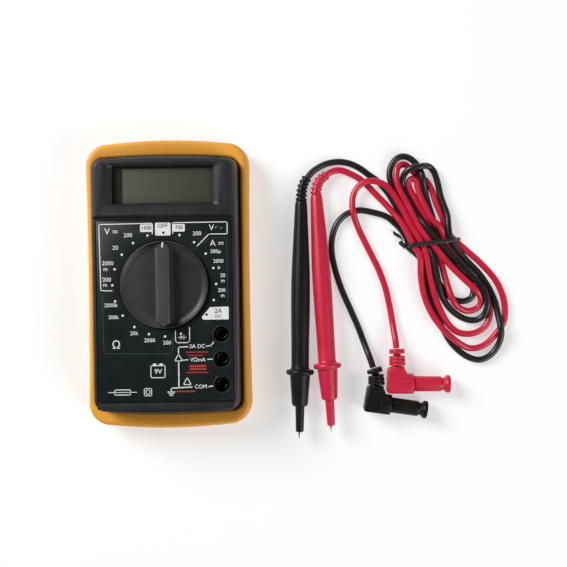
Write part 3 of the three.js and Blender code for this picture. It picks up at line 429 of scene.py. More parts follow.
redRoute = [
    (76.85, 52.3, 2.5), (80.4, 54.5, 2.1), (84.6, 55.1, low), (88.8, 53.7, low), (93.7, 51, low),
    (97.8, 47.5, low), (102.2, 42.9, low), (107, 38, low), (111.8, 32.4, 2.2), (115.6, 26.8, 3.4),
    inTie(-8.8, 0, 5.1), (123.9, 12.6, 5.1), (124.4, 3.4, 5.1), (125.7, -5.8, 5.1), (128.6, -14.1, 5),
    (132.4, -21, 5), (137.4, -27.2, 5), (142.3, -31.3, 4.2), (148.2, -33.9, 2.4), (154.8, -32.5, low),
    (160.6, -27.4, low), (164.5, -21.7, low), (165.4, -15.3, low), (164.3, -8, low), (160.4, 0.2, low),
    (153.6, 8, low), (146.6, 14.3, 2.2), inTie(9.8, 3, 2.4), inTie(9.4, -4, low), (134.6, 32.6, low),
    (131.8, 39, low), (129.8, 44.4, low), (127.2, 48.6, low), (124, 51.6, low), (121, 54, 1.9),
    (118.6, 56.6, 2.6), (115.8, 58.4, 3.8), (113.2, 56.8, 4.8), (112.6, 52.8, 5.1), (113.5, 47.6, 5.1),
    (115.6, 42, 5.1),
    (119, 34, 5.1), (123.2, 26.6, 5.1), inTie(-1.8, 0, 5.1), (130.6, 15.7, 5.1), (136.2, 9.5, 5.1),
    (142.3, 3.4, 5.1), (149, -2.8, 4.6), (153.2, -7.6, 3.6), (153, -12.4, 2.6), (147.5, -15, 2.6),
    (141.9, -13.1, 4), (138, -8.1, 4.6), (135.5, 0.5, 3.2), (133.6, 8, 1.8), inTie(-0.4, 4, low),
    inTie(-0.4, -4, low), (124.4, 31.6, low), (120.2, 39.4, 2), (117.4, 45, 2.6), (117.2, 48.8, 3.6),
    (119.4, 51.6, 4.6), (122, 50.2, 5.1), (122.8, 46.2, 5.1), (124.4, 40, 5.1), (128.4, 31, 5.1),
    inTie(5.6, -4, 5.1),
    inTie(6, 3, 3.2), (142.6, 9, low), (149.2, 2.2, low), (155.2, -5, low), (158, -12.4, low),
    (157.4, -19.4, low), (154.2, -24.2, low), (148.3, -26.7, low), (141.6, -26, 2.2),
    (136.2, -21.8, 3.6), (131.6, -14.6, 5), (128.9, -6, 5.1), (127.4, 3.4, 5.1), (126.6, 12, 5.1),
    inTie(-5.2, 0, 5.1), (118.4, 27.4, 5.1), (115, 34.4, 5.1), (110.6, 42, 5.1), (106.8, 46.6, 5.2),
    (102.4, 49, over), (98.2, 49.4, over), (94.4, 47.9, over), (91.4, 44.6, over), (90.1, 40, over),
    (90.2, 35.6, over), (91.3, 31, 4.4), (93.5, 25.4, 2.6), (96.6, 18.8, low), (99.8, 12.3, low),
    (103, 5.5, low), (106, -3, low), (108, -12, low), (109.1, -18.6, 2), (109.9, -24.6, 3.2),
    (110.5, -29.5, 4.6), (110.8, -33.1, 5.1),
]
blackRoute = [
    (67.45, 50.75, 2.5), (69.2, 53, 2.2), (72, 55.6, low), (77.4, 58.4, low), (83.5, 59.4, low),
    (89, 58.6, low), (94, 56.4, low), (98.8, 53, low), (103.9, 49.4, low), (109.4, 43.6, low),
    (114.2, 36.2, low), (118.6, 28.6, low), inTie(-6.5, 0, low), (127.4, 13.6, low), (130, 6, low),
    (132.6, -0.6, low), (136.2, -6.4, low), (140.6, -9.9, low), (145.4, -10.6, low), (149.4, -8.8, low),
    (150.6, -4.8, low), (147.6, -0.2, low), (142.6, 4.8, low), (137.4, 10.6, low), inTie(3.4, 2, low),
    inTie(3.4, -5, low), (128.2, 34, low), (126.2, 41, low), (125.2, 47.4, low), (124.2, 52.6, 2.6),
    (122, 57.6, 3.2), (118, 61, 3.2), (113.6, 61.2, 3), (110, 57.9, 2.5), (108.4, 52.9, 1.9),
    (109.2, 47.1, low), (112.2, 40.2, low), (116.6, 32.4, low), (121, 25, low), inTie(-3.3, 0, low),
    (128.3, 13.4, 4.6), (130.6, 4, 5.1), (133.4, -7, 4.9), (138.6, -14.6, 4.2), (145, -19, 3.2),
    (150.8, -19.9, 3.2), (155, -17.2, 4), (156.2, -12.2, 5), (154.2, -6, 5.1), (149.6, 0.6, 5.1),
    (143.6, 7.6, 5.1), inTie(4.6, 6, 5.1), inTie(2.2, 0, 5.1), inTie(0.8, -6, 3.2), (123, 34, low),
    (118.6, 41, low), (115.4, 46.8, 2.6), (115.4, 51.6, 5.4), (118.4, 54.6, 7.4), (123, 55, 6.8),
    (126.8, 56, 5), (130, 53.4, 4.8), (132, 47.6, 5.1), (133.4, 40.4, 5.1), (135.9, 32.2, 5.1),
    inTie(9, -3, 5.1), inTie(8.2, 4, 5.1), (144.8, 10.4, 5.1), (151.5, 2.9, 5.1), (156.2, -5.6, 5),
    (159.6, -15, 5), (161.6, -23.4, 5.1), (161.6, -31, 3.2), (158, -37, low), (152.2, -39.6, low),
    (145.9, -37.6, low), (140.2, -32.6, low), (136, -26, low), (132.4, -18.4, low), (129, -9.4, low),
    (126.6, 0.6, low), (124.6, 10.4, low), inTie(-9.6, 0, low), (117.6, 23.8, low), (114, 28.6, low),
    (108.4, 32.6, low), (101.2, 34.5, low), (93.6, 35.4, low), (87.4, 33.4, low), (82.8, 29, low),
    (80.2, 22.3, low), (79.8, 14.5, low), (81.4, 5.8, low), (84.5, -4, low), (88.3, -13, low),
    (92.2, -22.2, low), (94.1, -27.4, 2), (96, -32.8, 3.2), (97.6, -37.4, 4.6), (99.2, -42.4, 5.1),
]


# A smooth line through the points, with points at an even spacing.
def smoothLine(points, spacing):
    p = np.array(points, float)
    p = np.vstack([2 * p[0] - p[1], p, 2 * p[-1] - p[-2]])
    dense = []
    for a, b, c, d in zip(p, p[1:], p[2:], p[3:]):
        for t in np.linspace(0, 1, 16, endpoint=False):
            dense.append(0.5 * (2 * b + (c - a) * t + (2 * a - 5 * b + 4 * c - d) * t * t
                                + (3 * b - a - 3 * c + d) * t ** 3))
    dense = np.array(dense + [p[-2]])
    run = np.concatenate([[0], np.cumsum(np.linalg.norm(np.diff(dense, axis=0), axis=1))])
    even = np.linspace(0, run[-1], max(2, round(run[-1] / spacing)) + 1)
    return np.stack([np.interp(even, run, dense[:, k]) for k in range(dense.shape[1])], axis=1)


# Opens the bends that are tighter than a cord of this size takes.
def easeBends(place, loose):
    halfway = 0.5 * (place[:-2] + place[2:]) - place[1:-1]
    sag = np.sqrt((halfway ** 2).sum(1))
    radius = cordSizes["spacing"] ** 2 / (2 * sag + 1e-9)
    share = np.clip((cordSizes["bend"] - radius) / cordSizes["bend"], 0, 1)
    spread = np.maximum(share, 0.5 * np.maximum(np.roll(share, 1), np.roll(share, -1)))
    place[1:-1] += 0.5 * (spread[:, None] * halfway) * loose[1:-1]


# Moves the cords apart where they touch and lets them sink onto each other and the table.
def settleCords(lines, rounds=400):
    counts = [len(line) for line in lines]
    aim = np.vstack(lines)
    owner = np.concatenate([[i] * n for i, n in enumerate(counts)])
    order = np.concatenate([np.arange(n) for n in counts])
    ends = np.minimum(order, np.concatenate([np.arange(n)[::-1] for n in counts]))
    loose = np.clip((ends - 4) / 10, 0, 1)[:, None]  # the stretches in the strain reliefs stay
    near = 2.6 * 2 * cordSizes["radius"] / cordSizes["spacing"]
    same = (owner[:, None] == owner[None, :]) & (np.abs(order[:, None] - order[None, :]) < near)
    starts = np.flatnonzero(order == 0)
    stops = np.concatenate([starts[1:], [len(aim)]]) - 1
    for _ in range(12):
        easeBends(aim, loose)
    place = aim.copy()
    for turn in range(rounds):
        if turn % 12 == 0:
            gap = place[:, None, :] - place[None, :, :]
            first, second = np.nonzero(np.triu(~same & ((gap ** 2).sum(2) < 30)))
        for _ in range(3):
            drift = place - aim
            calm = drift.copy()
            calm[1:-1] = 0.5 * (drift[:-2] + drift[2:])
            calm[starts], calm[stops] = drift[starts], drift[stops]
            place += 0.5 * (calm - drift) * loose
            easeBends(place, loose)
        place[:, :2] += 0.012 * (aim - place)[:, :2] * loose
        place[:, 2] -= 0.03 * loose[:, 0]
        for _ in range(2):
            gap = place[first] - place[second]
            far = np.sqrt((gap ** 2).sum(1)) + 1e-9
            push = gap * (0.4 * np.clip(cordSizes["apart"] - far, 0, None) / far)[:, None]
            for axis in range(3):
                place[:, axis] += (np.bincount(first, push[:, axis], len(place))
                                   - np.bincount(second, push[:, axis], len(place))) * loose[:, 0]
            place[:, 2] = np.maximum(place[:, 2], cordSizes["rest"])
    return [place[a:b + 1] for a, b in zip(starts, stops)]


def curveThrough(name, points, spacing=0.6):
    curve = bpy.data.curves.new(name, "CURVE")
    curve.dimensions = "3D"
    line = smoothLine(points, spacing)
    spline = curve.splines.new("POLY")
    spline.points.add(len(line) - 1)
    for point, place in zip(spline.points, line):
        point.co = (*(place * mm), 1)
    return curve, line


def makeCord(name, points, look, replaces):
    curve, line = curveThrough(name, points, 0.8)
    curve.bevel_depth = cordSizes["radius"] * mm
    curve.bevel_resolution = 5
    curve.use_fill_caps = True
    curve.splines[0].use_smooth = True
    cord = addObject(name, curve)
    curve.materials.append(look)
    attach(cord, "test_leads")
    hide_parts(*replaces)
    length = float(np.linalg.norm(np.diff(line, axis=0), axis=1).sum()) * mm
    return cord, length


redLine, blackLine = settleCords([smoothLine(redRoute, cordSizes["spacing"]),
                                  smoothLine(blackRoute, cordSizes["spacing"])])
redCord, redLength = makeCord("redCord", redLine, redVinyl,
                              ["cord_red_probe_end", "cord_red_plug_end", "cord_hank"])
blackCord, blackLength = makeCord("blackCord", blackLine, blackVinyl,
                                  ["cord_black_probe_end", "cord_black_plug_end"])
print(f"cords laid, red {redLength:.3f} m and black {blackLength:.3f} m")


# Holster: one skin, up the outside, over the rim and down the inside.
holsterSizes = {"width": 79.4, "length": 140, "height": 14.5, "corner": 11, "waist": 0.6, "floor": 2.6,
                "arch": 1.6}
caseSizes = {"width": 69.6, "length": 123, "corner": 5, "arch": 1.0, "back": 2.9, "seam": 12.9,
             "face": 28.4, "wall": 2.2, "faceDraft": 1.4, "backDraft": 0.8, "gap": 0.3, "halfSeam": 0.15,
             "screwX": 28.6, "screwY": -12.5, "screwWell": 2.9, "screwDepth": 1.6}


# How far the case's side is drawn in at a height.
def caseInset(height):
    back, seam, face = (caseSizes[key] for key in ("back", "seam", "face"))
    if height < seam:
        return caseSizes["backDraft"] * (seam - height) / (seam - back)
    return caseSizes["faceDraft"] * (height - seam) / (face - seam)


def caseLevel(height, inset=0.0, out=0.0):
    both = caseInset(height) + inset
    corner = max(caseSizes["corner"] - max(inset, 0), 1.5) + out
    return (height, outline(caseSizes["width"] - 2 * both + 2 * out,
                            caseSizes["length"] - 2 * both + 2 * out, corner, caseSizes["arch"]))


def makeHolster():
    sizes, gap = holsterSizes, caseSizes["gap"]
    rim = sizes["height"]
    outer = [(0, 2.3), (0.15, 1.5), (0.7, 0.8), (1.6, 0.3), (2.8, 0.08), (5, 0), (9, 0.02),
             (rim - 3.2, 0.3), (rim - 1.8, 0.75), (rim - 0.8, 1.3), (rim - 0.25, 1.9), (rim, 2.7)]
    levels = [(height, outline(sizes["width"] - 2 * inset, sizes["length"] - 2 * inset,
                               sizes["corner"] - inset, sizes["arch"], sizes["waist"]))
              for height, inset in smoothLine(outer, 0.35)]
    mouth = [(rim - 0.02, 1.35), (rim - 0.2, 0.9), (rim - 0.6, 0.45), (rim - 1.3, 0.1), (rim - 2, 0)]
    for height, out in smoothLine(mouth, 0.3):
        levels.append((height, outline(caseSizes["width"] + 2 * (gap + out),
                                       caseSizes["length"] + 2 * (gap + out),
                                       caseSizes["corner"] + out, caseSizes["arch"])))
    levels.append(caseLevel(sizes["floor"] + 1, -gap))
    levels.append(caseLevel(sizes["floor"], -gap + 0.6))
    giveLook(loft("holsterShell", levels), holsterRubber, "holster", ["holster"],
             angle=50)


makeHolster()
print("holster made")

# Case: two shells, with the display block, the dial's opening and the jack wells in the front one.
frontSizes = {"displayRise": 2.2, "blockLength": 28.8, "windowWidth": 47.2, "windowLength": 17.6,
              "windowY": 46.5, "plateWidth": 63.2, "plateLength": 84.7, "plateY": -12.25,
              "plateGap": 0.6, "dialRadius": 20.5, "jackX": 26.3, "jackYs": (-47.0, -35.25, -23.5),
              "jackWell": 3.6, "jackWall": 1.2, "wellFoot": 7, "barLength": 3.4, "barWidth": 64,
              "pocketWidth": 54, "pocketLength": 26.6, "grooveWidth": 65, "grooveLength": 0.9}


def bevelEdges(obj, width, segments=2):
    modifier = obj.modifiers.new("bevel", "BEVEL")
    modifier.width = width * mm
    modifier.segments = segments
    modifier.limit_method = "ANGLE"
    modifier.angle_limit = math.radians(40)
    modifier.use_clamp_overlap = True
    return bakeModifiers(obj)


def makeRearShell():
    back, seam = caseSizes["back"], caseSizes["seam"] - caseSizes["halfSeam"]
    levels = [caseLevel(back + height, inset) for height, inset in
              [(0, 1.2), (0.1, 0.75), (0.35, 0.35), (0.75, 0.1), (1.2, 0)]]
    levels += [caseLevel(seam - 0.35), caseLevel(seam - 0.1, 0.06), caseLevel(seam, 0.2)]
    levels += [caseLevel(height, caseSizes["wall"]) for height in (seam, back + 2.2)]
    shell = loft("rearShell", levels)
    screws = [cylinder(side * caseSizes["screwX"], caseSizes["screwY"], back - 1,
                       back + caseSizes["screwDepth"], caseSizes["screwWell"]) for side in (-1, 1)]
    combine(shell, screws, "DIFFERENCE")
    giveLook(shell, caseBlack, "meter", ["rear_shell"])


def makeFrontShell():
    sizes, face, seam = frontSizes, caseSizes["face"], caseSizes["seam"] + caseSizes["halfSeam"]
    top = face + sizes["displayRise"]
    rounding = [(face - 1.2, 0), (face - 0.75, 0.08), (face - 0.35, 0.35), (face - 0.1, 0.75),
                (face, 1.25)]
    levels = [caseLevel(seam, 0.2), caseLevel(seam + 0.1, 0.06), caseLevel(seam + 0.35)]
    shell = loft("frontShell", levels + [caseLevel(height, inset) for height, inset in rounding])
    corners = [(face - 0.6, 0.45), (face + 0.9, 0.7), (top - 0.75, 1.1), (top - 0.3, 1.45),
               (top - 0.08, 1.9), (top, 2.4)]
    block = loft("displayBlock", [(height, caseLevel(face, inset)[1]) for height, inset in corners])
    middle = caseSizes["length"] / 2 - caseSizes["faceDraft"]
    ends = [(face - 2, 0), (face + 0.3, 0), (top - 0.5, 0.7), (top + 1, 2)]
    keep = loft("blockKeep", [(height, outline(90, 2 * (sizes["blockLength"] - slope), 1.2))
                              for height, slope in ends], (0, middle))
    combine(block, [keep], "INTERSECT")
    barMiddle = -middle + 1.6 + sizes["barLength"] / 2
    barEdges = [(face - 0.6, 0), (face + 0.5, 0.05), (face + 0.8, 0.2), (face + 0.9, 0.55)]
    bar = loft("bar", insetLevels(sizes["barWidth"], sizes["barLength"], 0.75, barEdges, 0.3),
               (0, barMiddle))
    combine(shell, [block, bar], "UNION")
    inside = loft("inside", [caseLevel(height, caseSizes["wall"]) for height in (seam - 1, face - 2.2)])
    # the window's sides slope in, more at the left and right than above and below
    slopes = [(top - 3, 0), (top - 1.3, 0), (top - 0.2, 1.1), (top - 0.03, 1.35), (top + 0.5, 1.9)]
    windowCut = loft("windowCut", [
        (height, outline(sizes["windowWidth"] + 3.2 * out, sizes["windowLength"] + 2 * out, 0.9 + out))
        for height, out in slopes], (0, sizes["windowY"]))
    pocket = loft("pocket", insetLevels(sizes["pocketWidth"], sizes["pocketLength"], 0.5,
                                        [(face - 4, 0), (top - 1.8, 0)]), (0, sizes["windowY"] - 0.6))
    plateCut = loft("plateCut", insetLevels(
        sizes["plateWidth"] + sizes["plateGap"], sizes["plateLength"] + sizes["plateGap"], 1.6,
        [(face - 0.5, 0), (face - 0.12, 0), (face + 0.1, -0.15)]), (0, sizes["plateY"]))
    groove = loft("groove", insetLevels(sizes["grooveWidth"], sizes["grooveLength"], 0.3,
                                        [(face - 0.6, 0), (face + 0.3, 0)]),
                  (0, barMiddle + sizes["barLength"] / 2 + 0.75))
    cutters = [inside, pocket, windowCut, plateCut, groove,
               cylinder(0, 0, face - 6, face + 1, sizes["dialRadius"] + 0.3, 96)]
    cutters += [cylinder(sizes["jackX"], y, face - 9, face + 1, sizes["jackWell"])
                for y in sizes["jackYs"]]
    combine(shell, cutters, "DIFFERENCE")
    # the walls of the wells, below the face
    wells = [pipe("well", sizes["jackX"], y, sizes["jackWell"], sizes["jackWell"] + sizes["jackWall"],
                  face - sizes["wellFoot"], face - 2) for y in sizes["jackYs"]]
    combine(shell, wells, "UNION")
    tidyMesh(shell, merge=2e-6)
    giveLook(shell, caseBlack, "meter", ["front_shell"], clean=False)


makeRearShell()
makeFrontShell()
print("case made")

# Face plate with its printed marks. Heights are the plate's underside and top.
plateFoot, plateTop = 28.0, 28.35
dialGap = 21.0
markSizes = {"line": 0.42, "thin": 0.3, "lift": 0.004, "depth": 0.025, "tagDepth": 0.016,
             "overTag": 0.012, "stops": 20, "bare": (5, 17, 18), "ring": 24.2, "dot": 0.56,
             "dotOnTag": 0.6}


def makePlate():
    sizes = frontSizes
    edges = [(plateFoot, 0), (plateTop - 0.06, 0), (plateTop, 0.08)]
    plate = loft("facePlate", insetLevels(sizes["plateWidth"], sizes["plateLength"], 1.3, edges),
                 (0, sizes["plateY"]))
    cutters = [cylinder(0, 0, 27, 29, dialGap, 96)]
    cutters += [cylinder(sizes["jackX"], y, 27, 29, sizes["jackWell"] + 0.3)
                for y in sizes["jackYs"]]
    combine(plate, cutters, "DIFFERENCE")
    giveLook(plate, plateBlack, "meter", ["face_plate"])


# Marks are solids a few hundredths of a millimetre high that stand on the plate.
def slab(points, height=None):
    base, top = (plateTop + markSizes["lift"]) * mm, (plateTop + (height or markSizes["depth"])) * mm
    count = len(points)
    places = [(x * mm, y * mm, z) for z in (base, top) for x, y in points]
    faces = [list(range(count))[::-1], list(range(count, 2 * count))]
    faces += [[i, (i + 1) % count, (i + 1) % count + count, i + count] for i in range(count)]
    return addMesh("mark", places, faces)


def stroke(points, width=None, closed=False):
    half = (width or markSizes["line"]) / 2
    points = [Vector(p) for p in points] + ([Vector(points[0])] if closed else [])
    made = []
    for start, end in zip(points, points[1:]):
        way = (end - start).normalized() * half
        side = Vector((-way.y, way.x))
        start, end = start - way * 0.98, end + way * 0.98
        made.append(slab([start - side, end - side, end + side, start + side]))
    return made


def markMiddle():
    return plateTop + markSizes["lift"] + markSizes["depth"] / 2


def lettering(words, x, y, size):
    curve = bpy.data.curves.new("words", "FONT")
    curve.body = words
    curve.size = size * mm * 1.35
    curve.align_x = "CENTER"
    curve.align_y = "CENTER"
    curve.extrude = markSizes["depth"] * mm / 2
    curve.offset = 0.00002
    curve.resolution_u = 3
    source = addObject("words", curve)
    bpy.context.view_layer.update()
    mesh = bpy.data.meshes.new_from_object(source.evaluated_get(bpy.context.evaluated_depsgraph_get()))
    bpy.data.objects.remove(source)
    mesh.transform(Matrix.Translation((x * mm, y * mm, markMiddle() * mm)))
    return [addObject("words", mesh)]


def ringSlab(x, y, radius, width, sides=16):
    return [pipe("mark", x, y, radius - width, radius, plateTop + markSizes["lift"],
                 plateTop + markSizes["depth"], sides)]


def rectangle(x, y, width, height):
    return [(x + sx * width / 2, y + sy * height / 2)
            for sx, sy in ((-1, -1), (1, -1), (1, 1), (-1, 1))]


def tag(x, y, width, height):
    corner = 0.35
    points = [(x + sx * (width / 2 - cx), y + sy * (height / 2 - cy)) for sx, sy, cx, cy in
              [(-1, -1, corner, 0), (1, -1, corner, 0), (1, -1, 0, corner), (1, 1, 0, corner),
               (1, 1, corner, 0), (-1, 1, corner, 0), (-1, 1, 0, corner), (-1, -1, 0, corner)]]
    return [slab(points, markSizes["tagDepth"])]


# Dark marks stand on the white tags.
def raised(objects):
    for obj in objects:
        obj.data.transform(Matrix.Translation((0, 0, markSizes["overTag"] * mm)))
    return objects


# A tree takes a geometry, the named inputs and a finish.
def startTree(name, inputs):
    tree = bpy.data.node_groups.new(name, "GeometryNodeTree")
    for key, kind in {"Geometry": "Geometry", **inputs, "Finish": "Material"}.items():
        tree.interface.new_socket(key, in_out="INPUT", socket_type="NodeSocket" + kind)
    tree.interface.new_socket("Geometry", in_out="OUTPUT", socket_type="NodeSocketGeometry")
    return tree, addNode(tree, "NodeGroupInput").outputs


def endTree(tree, geometry, look):
    real = addNode(tree, "GeometryNodeRealizeInstances", {"Geometry": geometry})
    dressed = addNode(tree, "GeometryNodeSetMaterial", {
        "Geometry": real.outputs["Geometry"], "Material": look})
    addNode(tree, "NodeGroupOutput", {"Geometry": dressed.outputs["Geometry"]})
    return tree


# The stops' dots: copies of one small disc on every point given.
def stopDots():
    tree, given = startTree("stopDots", {"Dot Radius": "Float", "Depth": "Float"})
    dot = addNode(tree, "GeometryNodeMeshCylinder", {
        "Vertices": 16, "Radius": given["Dot Radius"], "Depth": given["Depth"]})
    placed = addNode(tree, "GeometryNodeInstanceOnPoints", {
        "Points": given["Geometry"], "Instance": dot.outputs["Mesh"]})
    return endTree(tree, placed.outputs["Instances"], given["Finish"])


# Where the dial's stops are on the plate.
def stopPlace(stop):
    angle = 2 * math.pi * stop / markSizes["stops"]
    return markSizes["ring"] * math.cos(angle), markSizes["ring"] * math.sin(angle)


def fromNodes(name, data, tree, values):
    obj = addObject(name, data)
    modifier = obj.modifiers.new("nodes", "NODES")
    modifier.node_group = tree
    sockets = {s.name: s.identifier for s in tree.interface.items_tree if s.in_out == "INPUT"}
    for key, value in values.items():
        modifier[sockets[key]] = value
    if obj.type == "MESH":
        return bakeModifiers(obj)
    bpy.context.view_layer.update()
    made = bpy.data.meshes.new_from_object(obj.evaluated_get(bpy.context.evaluated_depsgraph_get()))
    bpy.data.objects.remove(obj)
    return addObject(name, made)


def makeMarks():
    white, red, dark, green = [], [], [], []
    points = bpy.data.meshes.new("dots")
    points.from_pydata([(x * mm, y * mm, markMiddle() * mm) for x, y in (
        stopPlace(i) for i in range(markSizes["stops"]) if i not in markSizes["bare"])], [], [])
    white.append(fromNodes("dots", points, stopDots(), {
        "Dot Radius": markSizes["dot"] * mm, "Depth": markSizes["depth"] * mm, "Finish": markWhite}))
    # frames round the groups of ranges
    white += stroke([(-24.4, -2.6), (-29.6, -2.4), (-30.1, 28.4), (-5.2, 28.7), (-5.2, 23.7)])
    white += stroke([(4.3, 23.9), (4.3, 28.8), (29.7, 28.9), (29.7, 23.3), (21.2, 23.3), (15.7, 17.9)])
    green += stroke([(18.4, 18.8), (21.6, 21.6), (29.4, 21.6), (29.5, -8.6)], markSizes["thin"])
    green += stroke([(-28.9, -4.6), (-28.6, -31), (-27.9, -31.9), (2.6, -32.3), (3.4, -31.6),
                     (3.5, -24.6)], markSizes["thin"])
    white += stroke([(4.9, -21.6), (4.9, -26.4), (5.7, -27.2), (10.7, -27.2), (11.5, -26.4),
                     (11.5, -20.2)])
    for words, x, y, width, height, size, up in [
            ("1000", -7.9, 26.4, 6.0, 3.5, 1.8, 0.1), ("OFF", -0.3, 25.9, 7.2, 6.0, 2.0, 1.5),
            ("750", 7.2, 26.4, 5.6, 3.5, 1.8, 0.1)]:
        white += tag(x, y, width, height)
        dark += raised(lettering(words, x, y + up, size))
    white += [slab([(17.2, -15.4), (21.2, -10.8), (29.9, -10.6), (29.9, -16.6), (17.9, -16.6)],
                   markSizes["tagDepth"])]
    dark += raised(lettering("2A", 25, -12.6, 2.2) + lettering("DC", 25, -15.1, 1.5))
    for stop in (5, 18):
        dark += raised(ringSlab(*stopPlace(stop), markSizes["dotOnTag"], markSizes["dotOnTag"]))
    # units, ranges and jack names; a range over a unit takes two rows
    for words, x, y, size in [
        ("V", -26.3, 25.0, 3.1), ("V", 22.4, 26.2, 2.9), ("A", 22.9, 19.0, 2.9),
        ("Ω", -22.8, -28.0, 3.9), ("200", -16.6, 23.2, 2.0), ("20", -22.6, 17.4, 2.0),
        ("200", 15.6, 23.6, 2.0), ("200µ", 24.2, 15.2, 1.8), ("2000", -26.2, 10.2, 2.0),
        ("m", -27.3, 7.6, 2.0), ("200", -26.8, 2.6, 2.0), ("m", -27.6, 0.2, 2.0),
        ("2000", 25.4, 10.6, 1.8), ("µ", 25.6, 7.9, 1.8), ("20", 27.4, 3.9, 1.8), ("m", 27.4, 1.5, 1.8),
        ("200", 26.8, -3.0, 1.8), ("m", 27.2, -5.4, 1.8),
        ("2000k", -25.0, -9.4, 1.9), ("200k", -23.9, -15.0, 1.8), ("20k", -14.4, -22.6, 1.9),
        ("2000", -7.2, -26.0, 1.9), ("200", 0.9, -27.2, 1.9),
        ("2A DC", 15.0, -29.0, 1.9), ("VΩmA", 15.2, -35.3, 1.9), ("COM", 16.4, -47.9, 1.9),
        ("9V", -3.4, -40.6, 2.4),
    ]:
        white += lettering(words, x, y, size)
    for x, y in [(-23.6, 25.0), (25.6, 19.0)]:  # direct current: a bar over three dashes
        white += stroke([(x, y + 0.3), (x + 2.2, y + 0.3)], 0.34)
        for step in range(3):
            left = x + 0.1 + 0.85 * step
            white += stroke([(left, y - 0.5), (left + 0.3, y - 0.5)], 0.34)
    # alternating current: one wave
    white += stroke([(24.3 + 0.28 * i, 26.2 + 0.5 * math.sin(i * math.pi / 5)) for i in range(11)], 0.4)
    # a diode between the frame's sides
    white += [slab([(7.2, -25.6), (7.2, -23.8), (8.7, -24.7)])]
    white += stroke([(8.8, -25.6), (8.8, -23.8)], 0.3) + stroke([(6.2, -24.7), (9.9, -24.7)], 0.25)
    # leaders to the jacks
    white += stroke([(6.2, -32.9), (6.2, -29.3), (10.6, -29.1)], 0.45)
    white += stroke([(19.4, -29), (21.4, -28.7), (22.6, -27.2)], 0.45)
    white += stroke([(6.2, -36.6), (6.2, -48)], 0.55)
    white += stroke([(8.4, -35.4), (10.6, -35.2)], 0.45) + stroke([(19.8, -35.2), (22.1, -35)], 0.45)
    white += stroke([(2.6, -50), (2.6, -48.4), (12.2, -48)], 0.5)
    white += stroke([(20.2, -47.9), (22.2, -47.6)], 0.45)
    for x, y in [(6.2, -34.4), (10.1, -45.5)]:
        white += stroke([(x - 1.8, y - 1.3), (x + 1.8, y - 1.3), (x, y + 1.9)], 0.4, True)
    for step in range(3):  # earth sign
        down = -50.2 - 0.8 * step
        white += stroke([(1.0 + 0.5 * step, down), (4.2 - 0.5 * step, down)], 0.4)
    # battery sign, fuse sign and a double square
    white += stroke(rectangle(-3.5, -40.6, 6.6, 5.6), 0.4, True)
    white += [slab(rectangle(x, -37.2, 1.6, 0.8)) for x in (-5, -2)]
    white += stroke(rectangle(-20.2, -50.1, 7.4, 2.4), 0.4, True)
    white += stroke([(-26.8, -50.1), (-13.6, -50.1)], 0.3)
    for side in (3.4, 1.8):
        white += stroke(rectangle(-8.3, -50.1, side, side), 0.34, True)
    for x, y, length, height in [
            (14.8, -31.7, 10.2, 0.55), (14.2, -33.2, 7.2, 0.45), (15.2, -38.2, 7.8, 1.0),
            (15.2, -39.6, 7.8, 1.0), (14.8, -41.2, 10.4, 0.5), (9.2, -50, 9.2, 0.6)]:
        red += [slab(rectangle(x, y, length, height))]
    for name, marks, look in [("whiteMarks", white, markWhite), ("redMarks", red, markRed),
                              ("greenMarks", green, markGreen), ("darkMarks", dark, plateBlack)]:
        joined = joinMeshes(name, marks)
        giveLook(joined, look, "meter", angle=30)


makePlate()
makeMarks()
print("face plate printed")

# Display: a dark sheet round the cell: its black edge, widened on the left and towards the top into a
# painted shadow of the window's walls.
displaySizes = {"x": (-19.1, 23.2), "y": (38.2, 54.2), "lift": (0.01, 0.06), "width": 50.2,
                "length": 19.4}


def makeDisplayEdgeAndShadow():
    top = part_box("display_cell")[1].z / mm
    foot, face = (top + lift for lift in displaySizes["lift"])
    (x0, x1), (y0, y1) = displaySizes["x"], displaySizes["y"]
    middle = ((x0 + x1) / 2, (y0 + y1) / 2)
    edgeAndShadow = loft("displayEdgeAndShadow", insetLevels(displaySizes["width"], displaySizes["length"], 0.5,
                                           [(foot, 0), (face, 0)]), (0, frontSizes["windowY"]))
    hole = loft("hole", insetLevels(x1 - x0, y1 - y0, 0.4, [(foot - 1, 0), (face + 1, 0)]), middle)
    combine(edgeAndShadow, [hole], "DIFFERENCE")
    giveLook(edgeAndShadow, cellDark, "meter")


makeDisplayEdgeAndShadow()

# Dial: a shallow dish with a raised bar right across it, whose pointing end slopes down to the rim.
dialSizes = {"radius": frontSizes["dialRadius"], "rim": 0.7, "top": 30.0, "dish": 2.9,
             "floor": 28.8, "gripTop": 35.0, "gripWidth": 6.8,
             "flange": 1.8, "flangeFoot": 22.4, "flangeTop": 25.6,
             "lineWidth": 0.7, "lineLength": 3.2, "lineAt": (18.4, 33.2), "lineSlope": 0.875}


